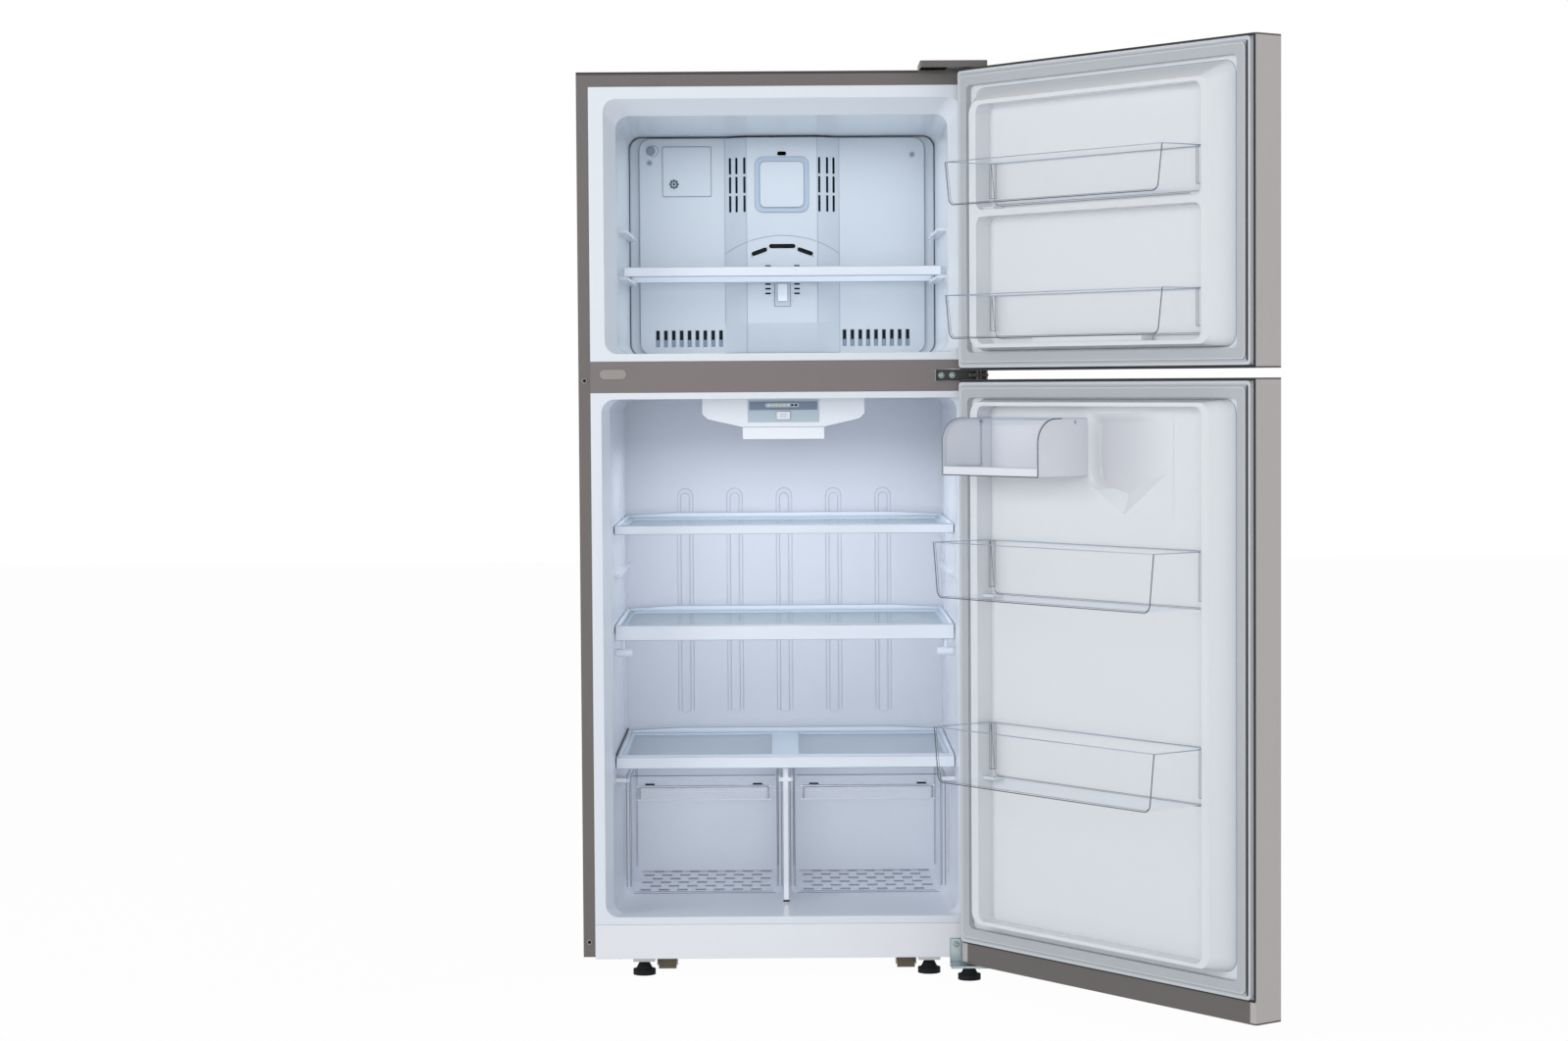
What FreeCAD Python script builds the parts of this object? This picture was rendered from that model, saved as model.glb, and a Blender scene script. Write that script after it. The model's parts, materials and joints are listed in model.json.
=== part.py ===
"""Top freezer refrigerator, about 30 inches wide, both doors standing open.

Millimetres. +Z is up, +Y points to the back of the cabinet and +X to the hinge side.
The origin lies on the floor under the middle of the cabinet's front flange.
Every door piece is drawn about its own hinge axis as if the door were shut,
and its Placement then swings it open.
"""

import FreeCAD, Part
import math
import os
import re
import Sketcher
from FreeCAD import Placement, Rotation, Vector

SIZES = [
    # cabinet
    ("cabinet_width", 755),
    ("cabinet_depth", 710),
    ("cabinet_base", 38),
    ("cabinet_top", 1669),
    ("case_sheet", 1),
    ("flange_width", 22),
    ("liner_wall", 2),
    ("back_foam", 58),
    ("top_trim_height", 5),
    ("top_trim_depth", 12),
    # freezer compartment
    ("freezer_wall", 70),
    ("freezer_roof", 72),
    ("freezer_sill", 14),
    ("freezer_side_bevel", 21),
    ("freezer_roof_bevel", 28),
    # fridge compartment
    ("fridge_wall", 55),
    ("fridge_roof", 12),
    ("fridge_floor", 112),
    ("fridge_side_bevel", 13),
    ("throat_depth", 45),
    ("corner_radius", 24),
    ("rib_pitch", 101),
    ("rib_width", 32),
    ("rib_depth", 1),
    ("rib_low", 428),
    ("rib_high", 887),
    ("rib_relief", 0.1),
    # ledges on the side walls
    ("ledge_height", 6),
    ("ledge_setback", 20),
    ("freezer_ledge_setback", 4),
    ("freezer_ledge_reach", 16),
    ("fridge_ledge_reach", 10),
    ("spare_ledge", 1391),
    ("middle_ledge", 738),
    # mullion, flange and toe panel
    ("mullion_middle", 1114),
    ("mullion_height", 58),
    ("plug_inset", 39.5),
    ("plug_length", 49),
    ("plug_height", 18),
    ("plug_rise", 5),
    ("plug_proud", 1.5),
    ("flange_screw_high", 1108),
    ("flange_screw_low", 66),
    ("screw_head_radius", 5),
    ("screw_head_height", 1.5),
    ("toe_height", 60),
    ("toe_low", 34),
    ("toe_lip", 13),
    # machine compartment
    ("machine_depth", 240),
    ("machine_height", 210),
    ("machine_foam", 44),
    ("machine_base_depth", 230),
    ("machine_base_inset", 37.5),
    # doors
    ("door_thickness", 62),
    ("door_gap", 16),
    ("door_rise", 3),
    ("door_clearance", 30),
    ("door_sheet", 1),
    ("door_return", 14),
    ("door_liner", 2),
    ("door_corner", 6),
    ("gasket_gap", 12),
    ("gasket_slack", 0.5),
    ("gasket_width", 28),
    ("gasket_margin", 5),
    ("gasket_lip", 8),
    ("gasket_lip_width", 9.5),
    ("gasket_corner", 10),
    ("cap_height", 26),
    ("cap_rim", 3),
    ("low_band", 42),
    ("pocket_depth", 18),
    ("pocket_inset", 60),
    ("pocket_length", 150),
    ("pocket_lip", 10),
    ("pocket_width", 24),
    ("pocket_corner", 8),
    ("open_angle", 127),
    # raised ring of the door liners
    ("ring_margin", 36),
    ("ring_margin_top", 40),
    ("ring_margin_low", 82),
    ("dyke_depth", 38),
    ("dyke_margin", 45.5),
    ("dyke_width", 45),
    ("dyke_slope", 26),
    ("dyke_rise", 5),
    ("dyke_top_rise", 26),
    ("crest_width", 7),
    ("dyke_corner", 24),
    ("recess_depth", 34),
    ("recess_corner", 16),
    ("scoop_gap", 4),
    ("scoop_width", 198),
    ("scoop_tip", 88),
    ("scoop_drop", 68),
    ("scoop_shoulder_drop", 121),
    ("scoop_height", 176),
    ("scoop_depth", 16),
    ("scoop_steep", 14),
    ("scoop_lift", 20),
    ("freezer_bar_gap", 12),
    ("bar_height", 12),
    ("lug_reach", 4),
    ("lug_height", 5),
    ("lug_depth", 18),
    ("lug_setback", 4),
    ("rest_half", 140),
    # hinges
    ("pin_inset", 19.5),
    ("pin_to_inner", 27),
    ("pin_radius", 5),
    ("pin_clearance", 0.1),
    ("pin_reach", 20),
    ("pin_end_gap", 2),
    ("hinge_plate", 4),
    ("bracket_sheet", 2.5),
    ("hinge_arm", 77),
    ("hinge_edge", 2),
    ("hinge_nose", 14),
    ("hinge_plate_height", 22),
    ("hinge_screw_inset", 11),
    ("hinge_screw_pitch", 20),
    ("hinge_screw_radius", 5),
    ("top_hinge_arm", 56),
    ("top_hinge_back", 56),
    ("top_hinge_packer", 6),
    ("hinge_cover_inset", 124.5),
    ("hinge_cover_gap", 1),
    ("hinge_cover_height", 17.5),
    ("cover_shell_wall", 2),
    ("cover_corner", 4),
    ("bottom_plate_arm", 54),
    ("bottom_plate_low", 17),
    ("bottom_plate_high", 69),
    ("bottom_screw_level", 58),
    ("leg_gap", 4),
    # posts moulded in the fridge's side walls
    ("post_proud", 1.2),
    ("post_width", 60),
    ("post_setback", 150),
    ("post_low", 410),
    ("post_high", 960),
    ("post_corner", 8),
    # door bins
    ("bin_wall", 2.4),
    ("bin_back", 8),
    ("bin_draft", 11),
    ("bin_corner", 14),
    ("bin_post", 12),
    ("bin_post_width", 3),
    ("freezer_bin_gap", 8),
    ("freezer_bin_depth", 110),
    ("freezer_bin_height", 77),
    ("freezer_bin_drop", 253),
    ("freezer_bin_rise", 65),
    ("fridge_bin_gap", 2),
    ("fridge_bin_depth", 136),
    ("fridge_bin_height", 98),
    ("fridge_bin_upper", 718),
    ("fridge_bin_lower", 387),
    # dairy box
    ("dairy_gap", 1),
    ("dairy_width", 256),
    ("dairy_back", 4),
    ("dairy_depth", 115),
    ("dairy_height", 101),
    ("dairy_drop", 178),
    ("dairy_wall", 3),
    ("dairy_round", 42),
    ("dairy_lip", 15),
    ("lid_axis_depth", 28),
    ("lid_axis_drop", 6.5),
    ("lid_pin_radius", 3),
    ("lid_knuckle_radius", 5),
    ("lid_gap", 0.5),
    ("lid_wall", 2.4),
    # evaporator cover
    ("cover_setback", 145),
    ("cover_inset", 20.5),
    ("cover_step", 6),
    ("cover_wall", 3),
    ("cover_slack", 1.5),
    ("cover_border", 2),
    ("duct_depth", 25),
    ("duct_half", 115),
    ("duct_flat_half", 71),
    ("duct_foot_top", 1222),
    ("duct_toe", 4),
    ("louvre_near", 75),
    ("louvre_middle", 91),
    ("louvre_far", 104),
    ("louvre_width", 5),
    ("louvre_drop", 153),
    ("louvre_height", 34),
    ("louvre_pitch", 38),
    ("grille_inner", 121),
    ("grille_width", 7),
    ("grille_pitch", 15.9),
    ("grille_low", 1175),
    ("grille_high", 1208),
    ("small_slot_inner", 23),
    ("small_slot_length", 12),
    ("small_slot_low", 1279),
    ("small_slot_height", 4),
    ("small_slot_pitch", 9.4),
    ("small_slot_high", 1334),
    ("vent_level", 1375),
    ("vent_height", 7.5),
    ("vent_bow", 1.5),
    ("vent_drop", 13),
    ("vent_middle_half", 24.5),
    ("vent_outer_start", 30),
    ("vent_outer_end", 62),
    ("oval_drop", 36),
    ("oval_height", 8),
    ("oval_length", 18),
    # air slider
    ("slider_recess_half", 16),
    ("slider_recess_depth", 1.5),
    ("slider_recess_low", 1255),
    ("slider_recess_high", 1308),
    ("slider_low", 1265),
    ("slider_height", 36),
    ("slider_half", 10),
    ("slider_proud", 6),
    ("slider_corner", 2),
    ("slider_gap", 0.5),
    ("slider_slot_half", 13),
    ("slider_stem_half", 4),
    ("slider_stem_reach", 6),
    # trims on the evaporator cover
    ("port_thickness", 1.2),
    ("port_inset", 47),
    ("port_width", 98),
    ("port_drop", 120),
    ("port_height", 100),
    ("port_corner", 3),
    ("star_inset", 23),
    ("star_rise", 25),
    ("star_radius", 7),
    ("star_hole_radius", 2.2),
    ("pad_half", 53.5),
    ("pad_height", 110),
    ("pad_drop", 43),
    ("pad_border", 9),
    ("pad_thickness", 2),
    ("pad_rise", 2),
    ("pad_corner", 16),
    ("round_plug_inset", 28),
    ("round_plug_drop", 28),
    ("round_plug_radius", 10.6),
    ("cover_screw_left_inset", 21),
    ("cover_screw_left_drop", 52),
    ("cover_screw_right_inset", 25),
    ("cover_screw_right_drop", 38),
    # coils and fans
    ("coil_inset", 57),
    ("coil_gap", 21),
    ("coil_depth", 50),
    ("coil_low", 1200),
    ("coil_height", 200),
    ("coil_overhang", 12),
    ("coil_tube_radius", 4),
    ("coil_header", 8),
    ("fin_thickness", 1),
    ("fan_hub_radius", 16),
    ("fan_depth", 20),
    ("fan_blade_width", 22),
    ("fan_blade_thickness", 2),
    ("fan_end_gap", 1),
    ("fan_motor_radius", 14),
    ("shaft_radius", 3),
    ("evaporator_fan_gap", 25),
    ("evaporator_fan_drop", 107),
    ("evaporator_fan_radius", 50),
    ("condenser_fan_gap", 50),
    ("condenser_fan_setback", 120),
    ("condenser_fan_level", 150),
    ("condenser_fan_radius", 70),
    ("condenser_motor_length", 22),
    # shelves
    ("freezer_shelf_front", 116),
    ("freezer_shelf_top", 1320),
    ("freezer_shelf_trim", 17),
    ("freezer_trim_inset", 10),
    ("fridge_shelf_front", 142),
    ("upper_shelf_top", 833),
    ("lower_shelf_top", 643),
    ("crisper_cover_top", 393),
    ("shelf_rear_gap", 12),
    ("shelf_side_gap", 2),
    ("glass_thickness", 4),
    ("glass_drop", 1),
    ("glass_gap", 0.2),
    ("glass_setback", 8),
    ("frame_lap", 22),
    ("frame_height", 10),
    ("frame_side", 14),
    ("seat_lap", 6),
    ("bar_depth", 18),
    ("trim_corner", 3),
    ("thin_trim", 16),
    ("deep_trim", 27),
    ("sill_trim", 21),
    ("sill_depth", 45),
    ("beam_half", 26),
    ("stop_slope", 100),
    ("stop_height", 5),
    ("stop_depth", 8),
    # tray hangers under the lower shelf
    ("hanger_inset", 17.5),
    ("hanger_width", 7),
    ("hanger_drop", 24),
    ("hanger_setback", 8),
    ("hanger_bar_inset", 16),
    ("hanger_bar_length", 31),
    ("hanger_bar_radius", 8),
    # crispers and their rails
    ("crisper_top", 358),
    ("crisper_height", 224),
    ("crisper_side", 20),
    ("crisper_depth", 270),
    ("crisper_gap", 17),
    ("crisper_wall", 2.4),
    ("crisper_face", 4),
    ("crisper_corner", 12),
    ("crisper_rim", 6),
    ("crisper_rim_reach", 6),
    ("crisper_gap_under", 0.3),
    ("rail_height", 8),
    ("rail_gap", 1.5),
    ("rail_setback", 20),
    ("divider_width", 9),
    ("grip_proud", 8),
    ("grip_inset", 24),
    ("grip_low", 313),
    ("grip_high", 339),
    # control housing and lamp
    ("control_half", 153),
    ("control_side_drop", 39),
    ("control_corner", 10),
    ("control_drop", 54),
    ("control_front", 112),
    ("control_depth", 300),
    ("control_wall", 3),
    ("lamp_half", 77),
    ("lamp_height", 23),
    ("panel_half", 67),
    ("panel_height", 42),
    ("panel_drop", 3),
    ("panel_thickness", 1.5),
    ("button_half", 13),
    ("button_rise", 5),
    ("button_height", 15),
    ("button_gap", 0.4),
    ("button_room", 8),
    ("button_travel", 2),
    ("button_proud", 2),
    ("indicator_left", -34),
    ("indicator_right", 30),
    ("indicator_drop", 10),
    ("indicator_height", 8),
    ("indicator_rise", 0.8),
    # feet and rollers
    ("foot_radius", 21),
    ("foot_pad", 10),
    ("foot_hub", 12),
    ("foot_hub_radius", 16),
    ("foot_neck_radius", 10),
    ("foot_height", 26),
    ("foot_inset", 111.5),
    ("foot_setback", 34),
    ("hinge_foot_offset", 21),
    ("stem_radius", 5),
    ("stem_clearance", 1),
    ("bushing_half", 20),
    ("roller_radius", 17),
    ("roller_width", 33),
    ("roller_offset", 58),
    ("roller_setback", 88),
    ("rear_roller_inset", 70),
    ("axle_radius", 3),
    ("axle_clearance", 0.05),
    ("axle_end_gap", 1),
    ("fork_wall", 2),
    ("fork_half", 12),
    ("fork_low", 8),
    # compressor, condenser and cover
    ("compressor_inset", 197.5),
    ("compressor_setback", 115),
    ("compressor_radius", 80),
    ("compressor_foot", 80),
    ("compressor_stand", 12),
    ("compressor_body", 140),
    ("compressor_round", 30),
    ("terminal_overlap", 10),
    ("terminal_depth", 22),
    ("terminal_half", 30),
    ("terminal_rise", 40),
    ("terminal_height", 60),
    ("condenser_inset", 67.5),
    ("condenser_length", 240),
    ("condenser_setback", 210),
    ("condenser_depth", 180),
    ("condenser_height", 140),
    ("pan_height", 22),
    ("pan_wall", 2),
    ("pan_corner", 8),
    ("cover_slot_left", -220),
    ("cover_slot_width", 20),
    ("cover_slot_pitch", 38),
    ("cover_slot_low", 80),
    ("cover_slot_height", 120),
]

# places and spans that follow from the sizes
PLACES = [
    ("freezer_ceiling", "cabinet_top - freezer_roof"),
    ("fridge_ceiling", "mullion_middle - mullion_height / 2 - fridge_roof"),
    ("cover_front", "cabinet_depth - cover_setback"),
    ("cover_half", "cabinet_width / 2 - freezer_wall - cover_inset"),
    ("coil_front", "cover_front + coil_gap"),
    ("coil_length", "(cover_half - coil_inset) * 2"),
    ("evaporator_fan_front", "cover_front + evaporator_fan_gap"),
    ("evaporator_fan_level", "freezer_ceiling - evaporator_fan_drop"),
    ("louvre_low", "freezer_ceiling - louvre_drop"),
    ("oval_middle", "freezer_ceiling - oval_drop"),
    ("pad_high", "freezer_ceiling - pad_drop"),
    ("pad_low", "pad_high - pad_height"),
    ("port_low", "freezer_ceiling - port_drop"),
    ("star_z", "port_low + star_rise"),
    ("port_left", "port_inset - cover_half"),
    ("star_x", "port_left + star_inset"),
    ("round_plug_x", "round_plug_inset - cover_half"),
    ("round_plug_z", "freezer_ceiling - round_plug_drop"),
    ("cover_screw_left_x", "cover_screw_left_inset - cover_half"),
    ("cover_screw_left_z", "freezer_ceiling - cover_screw_left_drop"),
    ("cover_screw_right_x", "cover_half - cover_screw_right_inset"),
    ("cover_screw_right_z", "freezer_ceiling - cover_screw_right_drop"),
    ("machine_base_front", "cabinet_depth - machine_base_depth"),
    ("machine_base_half", "cabinet_width / 2 - machine_base_inset"),
    ("compressor_x", "compressor_inset - cabinet_width / 2"),
    ("compressor_y", "cabinet_depth - compressor_setback"),
    ("condenser_front", "cabinet_depth - condenser_setback"),
    ("condenser_left", "cabinet_width / 2 - condenser_inset - condenser_length"),
    ("condenser_fan_x", "condenser_left - condenser_fan_gap"),
    ("condenser_fan_y", "cabinet_depth - condenser_fan_setback"),
    ("rear_roller_setback", "cabinet_depth - rear_roller_inset"),
    ("foot_spacing", "cabinet_width - foot_inset * 2"),
    ("roller_inner", "foot_spacing / 2 - roller_offset"),
    ("hinge_cover_left", "cabinet_width / 2 - hinge_cover_inset"),
    ("plug_left", "plug_inset - cabinet_width / 2"),
    ("hanger_x", "cabinet_width / 2 - fridge_wall - hanger_inset"),
    ("hanger_inner", "hanger_x - hanger_bar_inset"),
    ("crisper_width", "cabinet_width / 2 - fridge_wall - crisper_side - crisper_gap / 2"),
    ("dyke_foot_half", "cabinet_width / 2 - dyke_margin"),
    ("dyke_inner_half", "dyke_foot_half - dyke_width"),
    ("freezer_bin_length", "(dyke_inner_half - freezer_bin_gap) * 2"),
    ("fridge_bin_length", "(dyke_inner_half - fridge_bin_gap) * 2"),
    ("freezer_bin_upper", "cabinet_top - freezer_bin_drop"),
    ("freezer_bar_level", "freezer_bin_upper - freezer_bar_gap"),
    ("freezer_bin_lower", "mullion_middle + freezer_bin_rise"),
    ("dairy_hinge_side", "pin_inset - cabinet_width / 2 + dyke_inner_half - dairy_gap"),
    ("dairy_low", "mullion_middle - dairy_drop"),
    ("scoop_left", "dairy_hinge_side - dairy_width - scoop_gap"),
    ("scoop_top", "mullion_middle - scoop_drop"),
    ("scoop_shoulder", "scoop_top - scoop_shoulder_drop"),
    ("scoop_low", "scoop_top - scoop_height"),
    ("control_side_low", "fridge_ceiling - control_side_drop"),
    ("control_low", "fridge_ceiling - control_drop"),
    ("lamp_low", "control_low - lamp_height"),
    ("panel_high", "fridge_ceiling - panel_drop"),
    ("panel_low", "panel_high - panel_height"),
    ("button_low", "panel_low + button_rise"),
    ("button_high", "button_low + button_height"),
    ("indicator_level", "panel_high - indicator_drop"),
    ("post_back", "cabinet_depth - post_setback"),
    ("post_front", "post_back - post_width"),
]

document = FreeCAD.newDocument("top_freezer_refrigerator")
sheet = document.addObject("Spreadsheet::Sheet", "Sizes")
nodes = []

ALIAS = re.compile(r"\b[a-z]+(?:_[a-z]+)+\b")
PLANES = {"x": ("YZ_Plane", 1), "y": ("XZ_Plane", -1), "z": ("XY_Plane", 1)}
SLACK = 0.01  # how far apart two places may be and still count as one
TURNS = {
    "x": Rotation(Vector(0, 0, 1), Vector(1, 0, 0)),
    "y": Rotation(Vector(0, 0, 1), Vector(0, 1, 0)),
    "z": Rotation(),
}


def fill_sheet():
    formulas = [(alias, "=" + formula) for alias, formula in PLACES]
    for row, (alias, content) in enumerate(SIZES + formulas, start=1):
        sheet.set(f"A{row}", alias)
        sheet.set(f"B{row}", str(content))
        sheet.setAlias(f"B{row}", alias)
    document.recompute()


def tied(text):
    """The expression with each size's name pointed at the sheet."""
    return ALIAS.sub(lambda match: "Sizes." + match.group(), text)


def value(text):
    """What the expression comes to now, as a plain number."""
    return float(sheet.evalExpression(tied(text)))


# ---------------------------------------------------------------- helpers


def new_body(label):
    """A PartDesign body that becomes one node of the refrigerator."""
    body = document.addObject("PartDesign::Body", label)
    body.Label = label
    nodes.append(body)
    return body


def origin_of(body, role):
    return next(item for item in body.Origin.OriginFeatures if item.Role == role)


def bind(item, **expressions):
    for prop, text in expressions.items():
        item.setExpression(prop.replace("__", "."), tied(text))


def block(body, name, x, y, z, cut=False):
    """A box from its lowest to its highest place along each axis."""
    kind = "PartDesign::SubtractiveBox" if cut else "PartDesign::AdditiveBox"
    feature = body.newObject(kind, name)
    for letter, side, (low, high) in (("x", "Length", x), ("y", "Width", y), ("z", "Height", z)):
        bind(feature, **{side: f"({high}) - ({low})", f"Placement__Base__{letter}": low})
    return feature


def rod(body, name, axis, centre, radius, length, cut=False, top_radius=None):
    """A cylinder, or a cone if it has a top radius, that starts at centre and runs along axis."""
    shape = "Cylinder" if top_radius is None else "Cone"
    prefix = "Subtractive" if cut else "Additive"
    feature = body.newObject(f"PartDesign::{prefix}{shape}", name)
    feature.Placement = Placement(Vector(), TURNS[axis])
    if top_radius is None:
        bind(feature, Radius=radius)
    else:
        bind(feature, Radius1=radius, Radius2=top_radius)
    bind(feature, Height=length)
    for letter, place in zip("xyz", centre):
        bind(feature, **{f"Placement__Base__{letter}": place})
    return feature


def sketch_at(body, name, axis, place):
    """An empty sketch square to axis. Seen along it: x gives (Y, Z), y gives (X, Z), z gives (X, Y)."""
    role, sign = PLANES[axis]
    sketch = body.newObject("Sketcher::SketchObject", name)
    sketch.AttachmentSupport = [(origin_of(body, role), "")]
    sketch.MapMode = "FlatFace"
    bind(sketch, AttachmentOffset__Base__z=f"{sign} * ({place})")
    return sketch


def draw_outline(sketch, points):
    """A closed outline of straight sides whose every corner is bound to the sheet."""
    spots = [Vector(value(across), value(up), 0) for across, up in points]
    count = len(spots)
    for index, spot in enumerate(spots):
        sketch.addGeometry(Part.LineSegment(spot, spots[(index + 1) % count]), False)
    for index in range(count):
        following = (index + 1) % count
        sketch.addConstraint(Sketcher.Constraint("Coincident", index, 2, following, 1))
    for index, (across, up) in enumerate(points):
        for kind, text in (("DistanceX", across), ("DistanceY", up)):
            size = Sketcher.Constraint(kind, -1, 1, index, 1, value(text))
            number = sketch.addConstraint(size)
            sketch.setExpression(f"Constraints[{number}]", tied(text))


def draw_rounded(sketch, across, up, radius):
    """A rectangle with round corners, bound to the sheet."""
    left, right = value(across[0]), value(across[1])
    low, high = value(up[0]), value(up[1])
    curve = value(radius)
    quarter = math.pi / 2
    sides = [
        (Vector(left + curve, low, 0), Vector(right - curve, low, 0)),
        (Vector(right, low + curve, 0), Vector(right, high - curve, 0)),
        (Vector(right - curve, high, 0), Vector(left + curve, high, 0)),
        (Vector(left, high - curve, 0), Vector(left, low + curve, 0)),
    ]
    centres = [
        Vector(right - curve, low + curve, 0),
        Vector(right - curve, high - curve, 0),
        Vector(left + curve, high - curve, 0),
        Vector(left + curve, low + curve, 0),
    ]
    for start, end in sides:
        sketch.addGeometry(Part.LineSegment(start, end), False)
    for turn, centre in enumerate(centres):
        circle = Part.Circle(centre, Vector(0, 0, 1), curve)
        first = (turn - 1) * quarter
        sketch.addGeometry(Part.ArcOfCircle(circle, first, first + quarter), False)
    for turn in range(4):
        arc = 4 + turn
        sketch.addConstraint(Sketcher.Constraint("Tangent", turn, 2, arc, 1))
        sketch.addConstraint(Sketcher.Constraint("Tangent", arc, 2, (turn + 1) % 4, 1))
        sketch.addConstraint(Sketcher.Constraint("Vertical" if turn % 2 else "Horizontal", turn))
        if turn:
            sketch.addConstraint(Sketcher.Constraint("Equal", 4, arc))
    bound = [
        (Sketcher.Constraint("Radius", 4, curve), radius),
        (Sketcher.Constraint("DistanceX", -1, 1, 3, 1, left), across[0]),
        (Sketcher.Constraint("DistanceX", -1, 1, 1, 1, right), across[1]),
        (Sketcher.Constraint("DistanceY", -1, 1, 0, 1, low), up[0]),
        (Sketcher.Constraint("DistanceY", -1, 1, 2, 1, high), up[1]),
    ]
    for constraint, text in bound:
        number = sketch.addConstraint(constraint)
        sketch.setExpression(f"Constraints[{number}]", tied(text))


def extrude(body, name, axis, span, sketch, cut=False):
    """Pads or pockets a sketch along +axis from the first to the second place of span."""
    feature = body.newObject("PartDesign::Pocket" if cut else "PartDesign::Pad", name)
    feature.Profile = sketch
    feature.Reversed = (PLANES[axis][1] > 0) == cut
    bind(feature, Length=f"({span[1]}) - ({span[0]})")
    return feature


def prism(body, name, axis, span, points, cut=False):
    sketch = sketch_at(body, name + "_outline", axis, span[0])
    draw_outline(sketch, points)
    return extrude(body, name, axis, span, sketch, cut)


def rounded_slab(body, name, axis, span, across, up, radius, cut=False):
    sketch = sketch_at(body, name + "_outline", axis, span[0])
    draw_rounded(sketch, across, up, radius)
    return extrude(body, name, axis, span, sketch, cut)


def loft(body, name, axis, stations, cut=False):
    """A straight-sided loft. A station is a place and either corner points or (across, up, radius)."""
    sketches = []
    for number, (place, form) in enumerate(stations):
        sketch = sketch_at(body, f"{name}_{number}", axis, place)
        if isinstance(form, list):
            draw_outline(sketch, form)
        else:
            draw_rounded(sketch, *form)
        sketches.append(sketch)
    feature = body.newObject("PartDesign::SubtractiveLoft" if cut else "PartDesign::AdditiveLoft", name)
    feature.Profile = sketches[0]
    feature.Sections = sketches[1:]
    feature.Ruled = True
    return feature


def row_of(body, feature, axis, pitch, count):
    """Repeats a feature count times along an axis of the body."""
    pattern = body.newObject("PartDesign::LinearPattern", feature.Name + "_row")
    pattern.Originals = [feature]
    pattern.Direction = (origin_of(body, f"{axis.upper()}_Axis"), [""])
    bind(pattern, Length=f"({pitch}) * ({count} - 1)", Occurrences=str(count))
    body.Tip = pattern
    return pattern


def ring_of(body, feature, axis, count):
    pattern = body.newObject("PartDesign::PolarPattern", feature.Name + "_ring")
    pattern.Originals = [feature]
    pattern.Axis = (origin_of(body, f"{axis.upper()}_Axis"), [""])
    pattern.Angle = FULL_TURN
    bind(pattern, Occurrences=str(count))
    body.Tip = pattern
    return pattern


def runs_along(edge, axis):
    """Whether a straight edge runs nearly along an axis."""
    if edge.Curve.TypeId != "Part::GeomLine":
        return False
    way = edge.Vertexes[-1].Point - edge.Vertexes[0].Point
    return abs(getattr(way, axis)) > NEARLY_ALL * way.Length


def round_off(body, name, radius, chosen):
    """Fillets the edges that chosen(edge) picks on the body as it stands."""
    document.recompute()
    base = body.Tip
    edges = [f"Edge{number}" for number, edge in enumerate(base.Shape.Edges, start=1) if chosen(edge)]
    feature = body.newObject("PartDesign::Fillet", name)
    feature.Base = (base, edges)
    bind(feature, Radius=radius)
    return feature


def place_of(edge):
    return edge.BoundBox.Center


# ---------------------------------------------------------------- how many of each repeated form

RIB_COUNT = 5
LOUVRE_COUNT = 3
GRILLE_COUNT = 9
SMALL_SLOT_COUNT = 4
STAR_POINTS = 8
FIN_COUNT = 16
TUBE_ROWS = 4
FAN_BLADES = 5
HINGE_SCREWS = 2
CONDENSER_FINS = 12
CONDENSER_ROWS = 3
FULL_TURN = 360
NEARLY_ALL = 0.9

# ---------------------------------------------------------------- places that several pieces share

HALF_CASE = "(cabinet_width / 2)"
FREEZER_HALF = "(cabinet_width / 2 - freezer_wall)"
FRIDGE_HALF = "(cabinet_width / 2 - fridge_wall)"
LINER_BACK = "(cabinet_depth - case_sheet - back_foam - liner_wall)"
MULLION_LOW = "(mullion_middle - mullion_height / 2)"
MULLION_HIGH = "(mullion_middle + mullion_height / 2)"
FREEZER_FLOOR = "(mullion_middle + mullion_height / 2 + freezer_sill)"
FREEZER_CEILING = "(cabinet_top - freezer_roof)"
FRIDGE_CEILING = "(mullion_middle - mullion_height / 2 - fridge_roof)"
MACHINE_FRONT = "(cabinet_depth - machine_depth)"
MACHINE_TOP = "(cabinet_base + machine_height)"
HUMP_FRONT = "(cabinet_depth - machine_depth - machine_foam)"
HUMP_TOP = "(cabinet_base + machine_height + machine_foam)"
TOE_TOP = "(cabinet_base + toe_height)"
INSIDE_CASE = "(cabinet_width / 2 - case_sheet)"
INSIDE_FLANGE = "(cabinet_width / 2 - flange_width)"

HINGE_X = "(cabinet_width / 2 - pin_inset)"
HINGE_Y = "(0 - gasket_gap - pin_to_inner)"
# in a door's own frame, whose origin is the hinge axis
DOOR_FREE = "(pin_inset - cabinet_width)"
DOOR_MIDDLE = "(pin_inset - cabinet_width / 2)"
DOOR_INNER = "(pin_to_inner)"
DOOR_OUTER = "(pin_to_inner - door_thickness)"
FRIDGE_DOOR = ("(door_clearance)", "(mullion_middle - door_gap / 2)")
FREEZER_DOOR = ("(mullion_middle + door_gap / 2)", "(cabinet_top + door_rise)")


def both_ways(half):
    return (f"-{half}", half)


# ---------------------------------------------------------------- cabinet


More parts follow.
